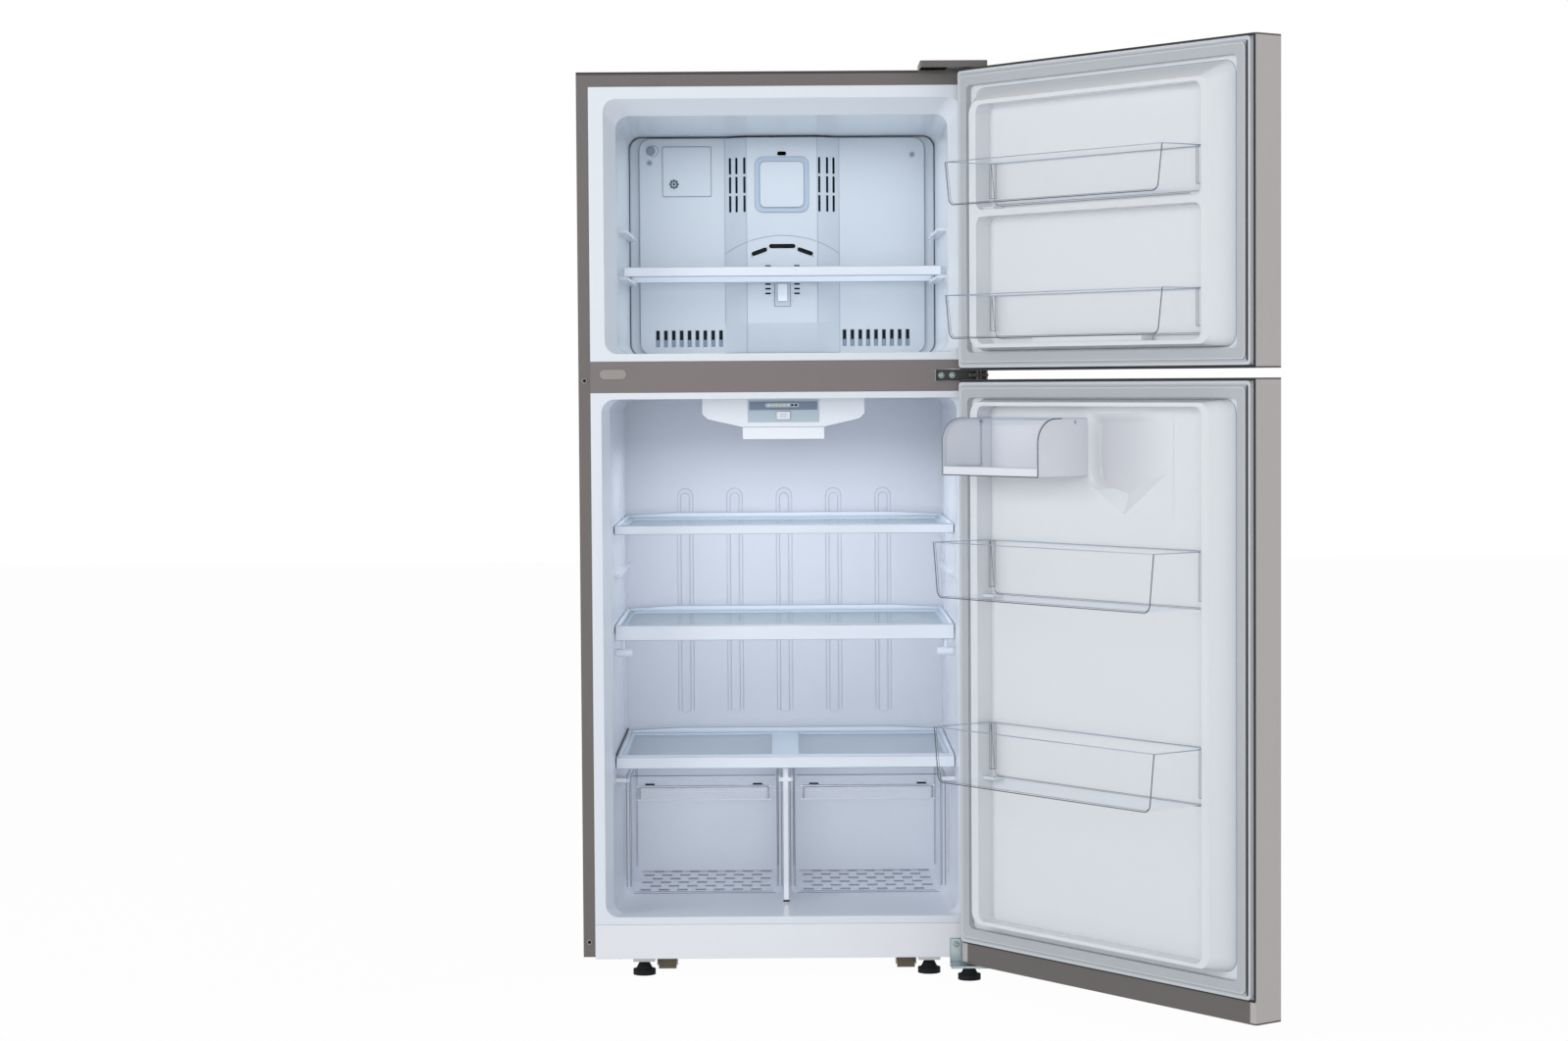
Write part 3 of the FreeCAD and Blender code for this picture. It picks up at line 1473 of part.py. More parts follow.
def make_crisper(label, sign):
    """A drawer that hangs by its rims, drawn in its own frame about its middle."""
    body = new_body(label)
    body.Placement = Placement()
    body.setExpression("Placement.Base.x", tied(f"{sign}(crisper_gap / 2 + crisper_width / 2)"))
    wide = both_ways("(crisper_width / 2)")
    box = both_ways("(crisper_width / 2 - crisper_rim_reach)")
    reach = ("fridge_shelf_front + crisper_face", CRISPER_BACK)
    low = "crisper_top - crisper_height"
    rounded_slab(body, "tub", "y", reach, box, (low, "crisper_top"), "crisper_corner")
    rim = (f"crisper_top - crisper_rim", "crisper_top")
    block(body, "rims", wide, reach, rim)
    rounded_slab(
        body,
        "face",
        "y",
        ("fridge_shelf_front", "fridge_shelf_front + crisper_face"),
        wide,
        (low, "crisper_top"),
        "crisper_corner",
    )
    inner = both_ways("(crisper_width / 2 - crisper_rim_reach - crisper_wall)")
    room = ("fridge_shelf_front + crisper_face", f"{CRISPER_BACK} - crisper_wall")
    rounded_slab(
        body,
        "room",
        "y",
        room,
        inner,
        (f"{low} + crisper_wall", "crisper_top + crisper_corner"),
        "crisper_corner - crisper_wall",
        cut=True,
    )
    grip = ("fridge_shelf_front - grip_proud", "fridge_shelf_front")
    grip_x = both_ways("(crisper_width / 2 - grip_inset)")
    block(body, "grip", grip_x, grip, ("grip_low", "grip_high"))
    hollow = ("fridge_shelf_front - grip_proud + crisper_wall", "fridge_shelf_front")
    hollow_x = both_ways("(crisper_width / 2 - grip_inset - crisper_wall)")
    block(body, "grip_hollow", hollow_x, hollow, ("grip_low", "grip_high - crisper_wall"), cut=True)
    return body


def make_crisper_rails():
    """The divider between the drawers and the rails on the side walls that carry their rims."""
    body = new_body("crisper_rails")
    ledge = (f"{CRISPER_LEDGE} - rail_height", CRISPER_LEDGE)
    reach = ("fridge_shelf_front + rail_setback", CRISPER_BACK)
    block(
        body,
        "web",
        both_ways("(divider_width / 2)"),
        reach,
        ("fridge_floor", "crisper_cover_top - frame_height"),
    )
    block(body, "middle_ledge", both_ways("(crisper_gap / 2 + crisper_rim_reach - rail_gap)"), reach, ledge)
    inner = "(crisper_gap / 2 + crisper_width - crisper_rim_reach + rail_gap)"
    block(body, "left_rail", (f"0 - {FRIDGE_HALF}", f"0 - {inner}"), reach, ledge)
    block(body, "right_rail", (inner, FRIDGE_HALF), reach, ledge)
    return body


# ---------------------------------------------------------------- control and lamp


def make_control():
    """The housing under the fridge's ceiling with its panel, push button and lamp cover."""
    body = new_body("control_housing")
    shape = [
        ("0 - control_half", FRIDGE_CEILING),
        ("0 - control_half", "control_side_low + control_corner"),
        ("control_corner - control_half", "control_side_low"),
        ("0 - lamp_half", "control_low"),
        ("lamp_half", "control_low"),
        ("control_half - control_corner", "control_side_low"),
        ("control_half", "control_side_low + control_corner"),
        ("control_half", FRIDGE_CEILING),
    ]
    prism(body, "housing", "y", ("control_front", "control_front + control_depth"), shape)
    hollow = both_ways("(lamp_half - control_wall)")
    room = ("control_front + control_wall + button_room", "control_front + control_depth - control_wall")
    block(body, "lamp_room", hollow, room, ("control_low", f"{FRIDGE_CEILING} - control_wall"), cut=True)
    socket = ("control_front", "control_front + button_room")
    socket_x = both_ways("(button_half + button_gap)")
    socket_z = ("button_low - button_gap", "button_high + button_gap")
    block(body, "button_socket", socket_x, socket, socket_z, cut=True)

    panel = new_body("control_panel")
    face = ("control_front - panel_thickness", "control_front")
    block(panel, "plate", both_ways("panel_half"), face, ("panel_low", "panel_high"))
    block(panel, "button_hole", socket_x, face, socket_z, cut=True)
    strip = ("control_front - panel_thickness - indicator_rise", "control_front - panel_thickness")
    rounded_slab(
        panel,
        "indicator",
        "y",
        strip,
        ("indicator_left", "indicator_right"),
        ("indicator_level - indicator_height / 2", "indicator_level + indicator_height / 2"),
        "indicator_height / 2 - rib_relief",
    )

    button = new_body("control_button")
    push = (
        "control_front - panel_thickness - button_proud",
        "control_front + button_room - button_travel - button_gap",
    )
    block(button, "button", both_ways("button_half"), push, ("button_low", "button_high"))

    lamp = new_body("lamp_cover")
    reach = ("control_front", "control_front + control_depth")
    block(lamp, "cover", both_ways("lamp_half"), reach, ("lamp_low", "control_low"))
    inner = ("control_front + control_wall", "control_front + control_depth - control_wall")
    block(lamp, "room", hollow, inner, ("lamp_low + control_wall", "control_low"), cut=True)


# ---------------------------------------------------------------- doors


def hang(body):
    """Puts a door piece's own frame on the hinge axis, turned to where the doors stand open."""
    body.Placement = Placement(Vector(), Rotation(Vector(0, 0, 1), value("open_angle")))
    for prop, text in (("Base.x", HINGE_X), ("Base.y", HINGE_Y), ("Rotation.Angle", "open_angle")):
        body.setExpression("Placement." + prop, tied(text))


def door_half(reach):
    """A span across a door, the same distance to both sides of its middle."""
    return (f"{DOOR_MIDDLE} - {reach}", f"{DOOR_MIDDLE} + {reach}")


def make_door_panel(name, door):
    """The door's folded steel skin: the front, both sides and a return behind each."""
    body = new_body(name + "_panel")
    hang(body)
    low, high = door
    free, hinge = DOOR_FREE, "pin_inset"
    fold = "door_sheet"
    points = [
        (free, DOOR_INNER),
        (free, DOOR_OUTER),
        (hinge, DOOR_OUTER),
        (hinge, DOOR_INNER),
        (f"{hinge} - door_return", DOOR_INNER),
        (f"{hinge} - door_return", f"{DOOR_INNER} - {fold}"),
        (f"{hinge} - {fold}", f"{DOOR_INNER} - {fold}"),
        (f"{hinge} - {fold}", f"{DOOR_OUTER} + {fold}"),
        (f"{free} + {fold}", f"{DOOR_OUTER} + {fold}"),
        (f"{free} + {fold}", f"{DOOR_INNER} - {fold}"),
        (f"{free} + door_return", f"{DOOR_INNER} - {fold}"),
        (f"{free} + door_return", DOOR_INNER),
    ]
    prism(body, "skin", "z", (f"{low} + cap_rim", f"{high} - cap_rim"), points)
    front, back = value(DOOR_OUTER), value(f"{DOOR_OUTER} + {fold}")
    upright = lambda edge: runs_along(edge, "z")
    round_off(
        body, "outer_corners", "door_corner", lambda e: upright(e) and abs(place_of(e).y - front) < SLACK
    )
    round_off(
        body,
        "inner_corners",
        "door_corner - door_sheet",
        lambda e: upright(e) and abs(place_of(e).y - back) < SLACK,
    )
    return body


def make_door_caps(name, door, pocket_on_top, band):
    """The moulded caps that close the skin's ends, bored for the hinge pins, one with the hand pocket."""
    body = new_body(name + "_caps")
    hang(body)
    low, high = door
    outside = ((DOOR_FREE, "pin_inset"), (DOOR_OUTER, DOOR_INNER))
    inside = (
        (f"{DOOR_FREE} + door_sheet", "pin_inset - door_sheet"),
        (f"{DOOR_OUTER} + door_sheet", f"{DOOR_INNER} - door_sheet"),
    )
    corner = "door_corner"
    rounded_slab(body, "low_rim", "z", (low, f"{low} + cap_rim"), *outside, corner)
    rounded_slab(
        body,
        "low_plug",
        "z",
        (f"{low} + cap_rim", f"{low} + cap_height"),
        *inside,
        "door_corner - door_sheet",
    )
    rounded_slab(body, "high_rim", "z", (f"{high} - cap_rim", high), *outside, corner)
    rounded_slab(
        body,
        "high_plug",
        "z",
        (f"{high} - cap_height", f"{high} - cap_rim"),
        *inside,
        "door_corner - door_sheet",
    )
    if band:
        across = (f"{DOOR_FREE} + door_return", "pin_inset - door_return")
        block(
            body,
            "band",
            across,
            (f"{DOOR_INNER} - door_sheet", DOOR_INNER),
            (f"{low} + cap_rim", f"{low} + {band}"),
        )
    bore = "pin_radius + pin_clearance"
    rod(body, "low_bore", "z", ("0", "0", low), bore, "pin_reach + pin_end_gap", cut=True)
    rod(
        body,
        "high_bore",
        "z",
        ("0", "0", f"{high} - pin_reach - pin_end_gap"),
        bore,
        "pin_reach + pin_end_gap",
        cut=True,
    )
    pocket = (high, f"{high} - pocket_depth") if pocket_on_top else (f"{low} + pocket_depth", low)
    rounded_slab(
        body,
        "hand_pocket",
        "z",
        (pocket[1], pocket[0]),
        (f"{DOOR_FREE} + pocket_inset", f"{DOOR_FREE} + pocket_inset + pocket_length"),
        (f"{DOOR_OUTER} + pocket_lip", f"{DOOR_OUTER} + pocket_lip + pocket_width"),
        "pocket_corner",
        cut=True,
    )
    return body


def make_door_foam(name, door, ring):
    """The foam inside a door: a slab behind the skin, and a ring and a thin core under the liner."""
    body = new_body(name + "_foam")
    hang(body)
    low, high = door
    across = (f"{DOOR_FREE} + door_sheet", "pin_inset - door_sheet")
    depth = (f"{DOOR_OUTER} + door_sheet", f"{DOOR_INNER} - door_liner")
    rounded_slab(
        body,
        "slab",
        "z",
        (f"{low} + cap_height", f"{high} - cap_height"),
        across,
        depth,
        "door_corner - door_sheet",
    )
    add_dyke(body, "ring", ring, "door_liner")
    room = (f"{DOOR_INNER} - door_liner", f"{DOOR_INNER} + dyke_depth")
    wall = "door_liner"
    inside = door_half(f"(dyke_inner_half + {wall})")
    up = recess_span(ring, wall)
    rounded_slab(body, "recess", "y", room, inside, up, f"recess_corner + {wall}", cut=True)
    add_core(body, ring)
    if name == "fridge_door":
        add_scoop(body, "scoop_room", "door_liner", True)
    return body


def add_core(body, ring, cut=False):
    """The thin core of foam under the floor of the recess."""
    depth = (f"{DOOR_INNER} - door_liner", f"{DOOR_INNER} + dyke_depth - recess_depth - door_liner")
    rounded_slab(
        body, "core", "y", depth, door_half("dyke_inner_half"), recess_span(ring), "recess_corner", cut
    )


def add_dyke(body, name, ring, inset, cut=False):
    """The raised ring's outer form, sloping from its foot to its crest."""
    low, high, low_rise, high_rise = ring
    foot = DOOR_INNER if inset == "0" else f"{DOOR_INNER} - door_liner"
    crest = f"{DOOR_INNER} + dyke_depth - {inset}"
    corner = f"dyke_corner - {inset}"
    foot_half = door_half(f"(dyke_foot_half - {inset})")
    crest_half = door_half(f"(dyke_foot_half - dyke_slope - {inset})")
    foot_up = (f"{low} + {inset}", f"{high} - {inset}")
    crest_up = (f"{low} + {low_rise} + {inset}", f"{high} - {high_rise} - {inset}")
    stations = [(foot, (foot_half, foot_up, corner)), (crest, (crest_half, crest_up, corner))]
    loft(body, name, "y", stations, cut)


def add_scoop(body, name, grow, cut):
    """A pitcher's scoop sunk in the recess's floor: steep at the left, shallow at the right, pointed low."""
    floor = f"{DOOR_INNER} + dyke_depth - recess_depth"
    left, right = "scoop_left", "(scoop_left - scoop_width)"
    tip = "(scoop_left - scoop_tip)"
    mouth = [
        (f"{left} + {grow}", f"scoop_top + {grow}"),
        (f"{left} + {grow}", "scoop_shoulder"),
        (tip, f"scoop_low - {grow}"),
        (f"{right} - {grow}", "scoop_shoulder + scoop_lift"),
        (f"{right} - {grow}", f"scoop_top + {grow}"),
    ]
    bed = [
        (f"{left} - scoop_steep + {grow}", f"scoop_top - scoop_steep + {grow}"),
        (f"{left} - scoop_steep + {grow}", "scoop_shoulder"),
        (tip, f"scoop_shoulder - scoop_steep - {grow}"),
        (f"{tip} - scoop_steep - {grow}", "scoop_shoulder"),
        (f"{tip} - scoop_steep - {grow}", f"scoop_top - scoop_steep + {grow}"),
    ]
    loft(body, name, "y", [(f"{floor} - scoop_depth - {grow}", bed), (floor, mouth)], cut)


def recess_span(ring, grow="0"):
    """The recess inside the ring: its lower and upper edge, grown by a wall where asked."""
    low, high, low_rise, high_rise = ring
    return (f"{low} + {low_rise} + crest_width - {grow}", f"{high} - {high_rise} - crest_width + {grow}")


def make_door_liner(name, door, ring, band, bins, bars, rest):
    """The formed plastic lining: a flange, a raised ring, a recess inside it and the bins' supports."""
    body = new_body(name + "_liner")
    hang(body)
    low, high = door
    across = (f"{DOOR_FREE} + door_return", "pin_inset - door_return")
    flange = (f"{low} + {band}", f"{high} - cap_rim")
    skin = (f"{DOOR_INNER} - door_sheet", DOOR_INNER)
    block(body, "flange", across, skin, flange)
    within = (f"{DOOR_FREE} + door_sheet", "pin_inset - door_sheet")
    under = (f"{DOOR_INNER} - door_liner", f"{DOOR_INNER} - door_sheet")
    block(body, "under_flange", within, under, (f"{low} + cap_height", f"{high} - cap_height"))
    add_dyke(body, "ring", ring, "0")
    add_dyke(body, "ring_room", ring, "door_liner", cut=True)
    wall = "door_liner"
    wide = door_half(f"(dyke_inner_half + {wall})")
    up = recess_span(ring, wall)
    whole = (f"{DOOR_INNER} - {wall}", f"{DOOR_INNER} + dyke_depth")
    rounded_slab(body, "middle", "y", whole, wide, up, f"recess_corner + {wall}")
    add_core(body, ring, cut=True)
    edges = [recess_span(ring)[0]]
    for bar in bars:
        edges += [f"{bar} - bar_height / 2", f"{bar} + bar_height / 2"]
    edges.append(recess_span(ring)[1])
    recess = (f"{DOOR_INNER} + dyke_depth - recess_depth", f"{DOOR_INNER} + dyke_depth")
    for number in range(0, len(edges), 2):
        span = (edges[number], edges[number + 1])
        inside = door_half("dyke_inner_half")
        rounded_slab(body, f"recess_{number}", "y", recess, inside, span, "recess_corner", cut=True)
    if name == "fridge_door":
        add_scoop(body, "scoop_form", "door_liner", False)
        add_scoop(body, "scoop", "0", True)
    flat_end = f"({name.replace('door', 'bin')}_length / 2 - bin_draft - bin_corner - lug_reach)"
    for number, level in enumerate(bins):
        for side, sign in (("free", "-"), ("hinge", "+")):
            near = f"{DOOR_MIDDLE} {sign} {flat_end}"
            far = f"{DOOR_MIDDLE} {sign} (dyke_inner_half + {wall} / 2)"
            x = (near, far) if sign == "+" else (far, near)
            y = (f"{recess[0]} - {wall} / 2", f"{DOOR_INNER} + bin_back + lug_depth")
            block(body, f"lug_{side}_{number}", x, y, (f"{level} - lug_height", level))
    if rest:
        y = (f"{DOOR_INNER} + bin_back", f"{DOOR_INNER} + dyke_depth - lug_setback")
        block(body, "rest", door_half("rest_half"), y, (recess_span(ring)[0], rest))
    return body


def make_gasket(name, door, low_margin):
    """The magnetic gasket: a deep inner tube and a shallower lip outside it that clears the turn."""
    body = new_body(name + "_gasket")
    hang(body)
    low, high = door
    for part, inset, depth in (
        ("lip", "0", "gasket_lip"), ("tube", "gasket_lip_width", "gasket_gap - gasket_slack")
    ):
        half = f"(cabinet_width / 2 - gasket_margin - {inset})"
        up = (f"{low} + {low_margin} + {inset}", f"{high} - gasket_margin - {inset}")
        rounded_slab(
            body, part, "y", (DOOR_INNER, f"{DOOR_INNER} + {depth}"), door_half(half), up, "gasket_corner"
        )
    half = "(cabinet_width / 2 - gasket_margin - gasket_width)"
    up = (f"{low} + {low_margin} + gasket_width", f"{high} - gasket_margin - gasket_width")
    rounded_slab(
        body,
        "window",
        "y",
        (DOOR_INNER, f"{DOOR_INNER} + gasket_gap"),
        door_half(half),
        up,
        "gasket_corner",
        cut=True,
    )
    return body


def make_bin(label, level, length, depth, height):
    """A clear door bin: a trough with a flat front, slanted ends and a post at the back of each end."""
    body = new_body(label)
    hang(body)
    back, front = f"{DOOR_INNER} + bin_back", f"{DOOR_INNER} + bin_back + {depth}"
    add_trough(body, "tray", (back, front), (level, f"{level} + {height}"), length, "0")
    inside = (f"{back} + bin_wall", f"{front} - bin_wall")
    floor = f"{level} + bin_wall"
    add_trough(body, "room", inside, (floor, f"{level} + {height}"), length, "bin_wall", cut=True)
    round_trough(body, "room_corners", floor, "bin_corner - bin_wall")
    round_trough(body, "tray_corners", level, "bin_corner")
    post_y = (inside[0], f"{inside[0]} + bin_post")
    post_z = (f"{level} + bin_corner", f"{level} + {height}")
    for side, sign in (("free", "-"), ("hinge", "+")):
        inner = f"{DOOR_MIDDLE} {sign} ({length} / 2 - bin_draft - bin_wall - bin_post_width)"
        outer = f"{DOOR_MIDDLE} {sign} ({length} / 2 - bin_draft - bin_wall / 2)"
        x = (inner, outer) if sign == "+" else (outer, inner)
        block(body, f"post_{side}", x, post_y, post_z)
    return body


def add_trough(body, name, y, z, length, inset, cut=False):
    """A trough's form, wider at its mouth, drawn across the door."""
    foot = f"({length} / 2 - bin_draft - {inset})"
    mouth = f"({length} / 2 - {inset})"
    outline = [
        (f"{DOOR_MIDDLE} - {foot}", z[0]),
        (f"{DOOR_MIDDLE} + {foot}", z[0]),
        (f"{DOOR_MIDDLE} + {mouth}", z[1]),
        (f"{DOOR_MIDDLE} - {mouth}", z[1]),
    ]
    return prism(body, name, "y", y, outline, cut)


def round_trough(body, name, level, radius):
    """Rounds a trough's lower corners, whose edges run along Y at one level."""
    low = value(level)
    round_off(body, name, radius, lambda e: runs_along(e, "y") and abs(place_of(e).z - low) < SLACK)


def make_dairy_box():
    """The dairy compartment with quarter-round ends, and its clear lid on two small pins."""
    body = new_body("dairy_box")
    hang(body)
    across = ("dairy_hinge_side - dairy_width", "dairy_hinge_side")
    back = f"{DOOR_INNER} + dairy_back"
    reach = (back, f"{back} + dairy_depth")
    span = ("dairy_low", "dairy_low + dairy_height")
    block(body, "box", across, reach, span)
    front, top = value(reach[1]), value(span[1])
    round_off(
        body,
        "quarter_round",
        "dairy_round",
        lambda e: (
            runs_along(e, "x")
            and abs(place_of(e).y - front) < SLACK
            and abs(place_of(e).z - top) < SLACK
        ),
    )
    inner = ("dairy_hinge_side - dairy_width + dairy_wall", "dairy_hinge_side - dairy_wall")
    room_z = ("dairy_low + dairy_wall", "dairy_low + dairy_height")
    block(body, "room", inner, (f"{back} + dairy_wall", f"{reach[1]} - dairy_wall"), room_z, cut=True)
    block(
        body,
        "mouth",
        inner,
        (f"{back} + dairy_wall", reach[1]),
        ("dairy_low + dairy_lip", span[1]),
        cut=True,
    )
    axis_y, axis_z = f"{back} + lid_axis_depth", "dairy_low + dairy_height - lid_axis_drop"
    rod(
        body,
        "pin_holes",
        "x",
        (across[0], axis_y, axis_z),
        "lid_pin_radius + pin_clearance",
        "dairy_width",
        cut=True,
    )

    lid = new_body("dairy_lid")
    hang(lid)
    wide = (
        "dairy_hinge_side - dairy_width + dairy_wall + lid_gap", "dairy_hinge_side - dairy_wall - lid_gap"
    )
    lid_y = (axis_y, f"{reach[1]} - lid_gap")
    lid_z = ("dairy_low + dairy_lip + lid_gap", f"{span[1]} - lid_gap")
    block(lid, "form", wide, lid_y, lid_z)
    lid_front, lid_top = value(lid_y[1]), value(lid_z[1])
    round_off(
        lid,
        "form_round",
        "dairy_round - lid_gap",
        lambda e: (
            runs_along(e, "x")
            and abs(place_of(e).y - lid_front) < SLACK
            and abs(place_of(e).z - lid_top) < SLACK
        ),
    )
    hollow_y = (axis_y, f"{lid_y[1]} - lid_wall")
    hollow_z = (lid_z[0], f"{lid_z[1]} - lid_wall")
    hollow_x = (f"{wide[0]} + lid_wall", f"{wide[1]} - lid_wall")
    sketch = sketch_at(lid, "hollow_outline", "x", hollow_x[0])
    draw_quarter(sketch, hollow_y, hollow_z, "dairy_round - lid_gap - lid_wall")
    extrude(lid, "hollow", "x", hollow_x, sketch, cut=True)
    rod(lid, "knuckle", "x", (wide[0], axis_y, axis_z), "lid_knuckle_radius", f"({wide[1]}) - ({wide[0]})")
    rod(lid, "pins", "x", (across[0], axis_y, axis_z), "lid_pin_radius", "dairy_width")


def draw_quarter(sketch, across, up, radius):
    """A rectangle whose far upper corner is round, bound to the sheet."""
    left, right = value(across[0]), value(across[1])
    low, high = value(up[0]), value(up[1])
    curve = value(radius)
    corners = [
        Vector(left, low, 0),
        Vector(right, low, 0),
        Vector(right, high - curve, 0),
        Vector(right - curve, high, 0),
        Vector(left, high, 0),
    ]
    for start, end in ((0, 1), (1, 2), (3, 4), (4, 0)):
        sketch.addGeometry(Part.LineSegment(corners[start], corners[end]), False)
    circle = Part.Circle(Vector(right - curve, high - curve, 0), Vector(0, 0, 1), curve)
    sketch.addGeometry(Part.ArcOfCircle(circle, 0, math.pi / 2), False)
    for constraint in (
        Sketcher.Constraint("Coincident", 0, 2, 1, 1),
        Sketcher.Constraint("Tangent", 1, 2, 4, 1),
        Sketcher.Constraint("Tangent", 4, 2, 2, 1),
        Sketcher.Constraint("Coincident", 2, 2, 3, 1),
        Sketcher.Constraint("Coincident", 3, 2, 0, 1),
        Sketcher.Constraint("Horizontal", 0),
        Sketcher.Constraint("Vertical", 1),
        Sketcher.Constraint("Horizontal", 2),
        Sketcher.Constraint("Vertical", 3),
    ):
        sketch.addConstraint(constraint)
    bound = [
        (Sketcher.Constraint("Radius", 4, curve), radius),
        (Sketcher.Constraint("DistanceX", -1, 1, 0, 1, left), across[0]),
        (Sketcher.Constraint("DistanceX", -1, 1, 0, 2, right), across[1]),
        (Sketcher.Constraint("DistanceY", -1, 1, 0, 1, low), up[0]),
        (Sketcher.Constraint("DistanceY", -1, 1, 3, 1, high), up[1]),
    ]
    for constraint, text in bound:
        number = sketch.addConstraint(constraint)
        sketch.setExpression(f"Constraints[{number}]", tied(text))


FREEZER_RING = (
    "(mullion_middle + door_gap / 2 + ring_margin)",
    "(cabinet_top + door_rise - ring_margin_top)",
    "dyke_rise",
    "dyke_top_rise",
)
FRIDGE_RING = (
    "(door_clearance + ring_margin_low)",
    "(mullion_middle - door_gap / 2 - ring_margin)",
    "dyke_rise",
    "dyke_rise",
)


def make_doors():
    plans = [
        (
            "freezer_door",
            FREEZER_DOOR,
            FREEZER_RING,
            False,
            "cap_rim",
            "gasket_margin",
            ["freezer_bin_upper"],
        ),
        (
            "fridge_door",
            FRIDGE_DOOR,
            FRIDGE_RING,
            True,
            "low_band",
            "low_band",
            ["fridge_bin_upper", "fridge_bin_lower"],
        ),
    ]
    for name, door, ring, pocket_on_top, band, margin, bins in plans:
        make_door_panel(name, door)
        make_door_caps(name, door, pocket_on_top, band if band != "cap_rim" else None)
        make_door_foam(name, door, ring)
        freezer = name == "freezer_door"
        bars = ["freezer_bar_level"] if freezer else []
        make_door_liner(name, door, ring, band, bins, bars, "freezer_bin_lower" if freezer else None)
        make_gasket(name, door, margin)
        kind = name.split("_")[0]
        for place in ("upper", "lower"):
            sizes = [f"{kind}_bin_{word}" for word in (place, "length", "depth", "height")]
            make_bin(f"{kind}_bin_{place}", *sizes)
    make_dairy_box()


# ---------------------------------------------------------------- hinges

PLATE_LEFT = f"({HINGE_X} - hinge_arm)"
PLATE_RIGHT = "(cabinet_width / 2 - hinge_edge)"
ARM_FRONT = f"({HINGE_Y} - hinge_nose)"


def make_centre_hinge():
    """The plate on the mullion and its arm between the doors, with a pin up and a pin down."""
    body = new_body("centre_hinge")
    plate_z = ("mullion_middle - hinge_plate_height / 2", "mullion_middle + hinge_plate_height / 2")
    block(body, "plate", (PLATE_LEFT, PLATE_RIGHT), ("0 - bracket_sheet", "0"), plate_z)
    arm_z = ("mullion_middle - hinge_plate / 2", "mullion_middle + hinge_plate / 2")
    arm_x = (f"{HINGE_X} - hinge_nose", PLATE_RIGHT)
    block(body, "arm", arm_x, (ARM_FRONT, "0 - bracket_sheet"), arm_z)
    length = "door_gap + 2 * pin_reach"
    centre = (HINGE_X, HINGE_Y, "mullion_middle - door_gap / 2 - pin_reach")
    rod(body, "pin", "z", centre, "pin_radius", length)
    head = (f"{PLATE_LEFT} + hinge_screw_inset", "0 - bracket_sheet - screw_head_height", "mullion_middle")
    screw = rod(body, "screw", "y", head, "hinge_screw_radius", "screw_head_height")
    row_of(body, screw, "x", "hinge_screw_pitch", HINGE_SCREWS)
    return body


def make_top_hinge():
    """The bracket on the cabinet's top, its pin down into the freezer door, and its cover."""
    body = new_body("top_hinge")
    low = "(cabinet_top + top_trim_height)"
    level = (low, f"{low} + hinge_plate")
    x = (f"{HINGE_X} - top_hinge_arm", f"{PLATE_RIGHT} - cover_shell_wall - hinge_cover_gap")
    block(body, "plate", x, (ARM_FRONT, "top_hinge_back"), level)
    block(body, "packer", x, ("top_hinge_packer", "top_hinge_back"), ("cabinet_top", low))
    reach = f"{low} - (cabinet_top + door_rise - pin_reach)"
    rod(body, "pin", "z", (HINGE_X, HINGE_Y, "cabinet_top + door_rise - pin_reach"), "pin_radius", reach)

    cover = new_body("top_hinge_cover")
    shell = ("hinge_cover_left", PLATE_RIGHT)
    front = f"({ARM_FRONT} - hinge_cover_gap - cover_shell_wall)"
    back = "(top_hinge_back + hinge_cover_gap + cover_shell_wall)"
    high = "(cabinet_top + hinge_cover_height)"
    rounded_slab(cover, "shell", "z", (low, high), shell, (front, back), "cover_corner")
    skirt = ("cabinet_top", f"{low} + cover_shell_wall")
    block(cover, "skirt", shell, ("hinge_cover_gap", back), skirt)
    wall = "cover_shell_wall"
    room_x = (f"{shell[0]} + {wall}", f"{shell[1]} - {wall}")
    room_y = (f"{front} + {wall}", f"{back} - {wall}")
    rounded_slab(
        cover, "room", "z", (low, f"{high} - {wall}"), room_x, room_y, f"cover_corner - {wall}", cut=True
    )
    block(cover, "skirt_room", room_x, (f"hinge_cover_gap + {wall}", room_y[1]), skirt, cut=True)


def make_bottom_hinge():
    """The zinc bracket on the toe panel that carries the fridge door and the foot below it."""
    body = new_body("bottom_hinge")
    face = "0"
    plate_x = (f"{HINGE_X} - bottom_plate_arm", PLATE_RIGHT)
    block(
        body, "plate", plate_x, (f"{face} - bracket_sheet", face), ("bottom_plate_low", "bottom_plate_high")
    )
    leg_z = ("door_clearance - hinge_plate - leg_gap", "door_clearance - leg_gap")
    block(body, "leg", plate_x, (ARM_FRONT, f"{face} - bracket_sheet"), leg_z)
    reach = "hinge_plate + leg_gap + pin_reach"
    rod(body, "pin", "z", (HINGE_X, HINGE_Y, leg_z[0]), "pin_radius", reach)
    head = (
        f"{HINGE_X} - bottom_plate_arm + hinge_screw_inset",
        f"{face} - bracket_sheet - screw_head_height",
        "bottom_screw_level",
    )
    rod(body, "screw", "y", head, "hinge_screw_radius", "screw_head_height")
    hole = (f"{HINGE_X} - hinge_foot_offset", HINGE_Y, leg_z[0])
    rod(body, "foot_hole", "z", hole, "stem_radius + pin_clearance", "hinge_plate", cut=True)
    return body


# ---------------------------------------------------------------- feet and rollers


def make_foot(label, centre, top):
    """A levelling foot: a round pad under a hub, and a stem that screws into the bracket above."""
    body = new_body(label)
    x, y = centre
    rod(body, "pad", "z", (x, y, "0"), "foot_radius", "foot_pad")
    rod(body, "hub", "z", (x, y, "foot_pad"), "foot_hub_radius", "foot_hub", top_radius="foot_neck_radius")
    rod(body, "stem", "z", (x, y, "foot_pad + foot_hub"), "stem_radius", f"{top} - foot_pad - foot_hub")
    return body


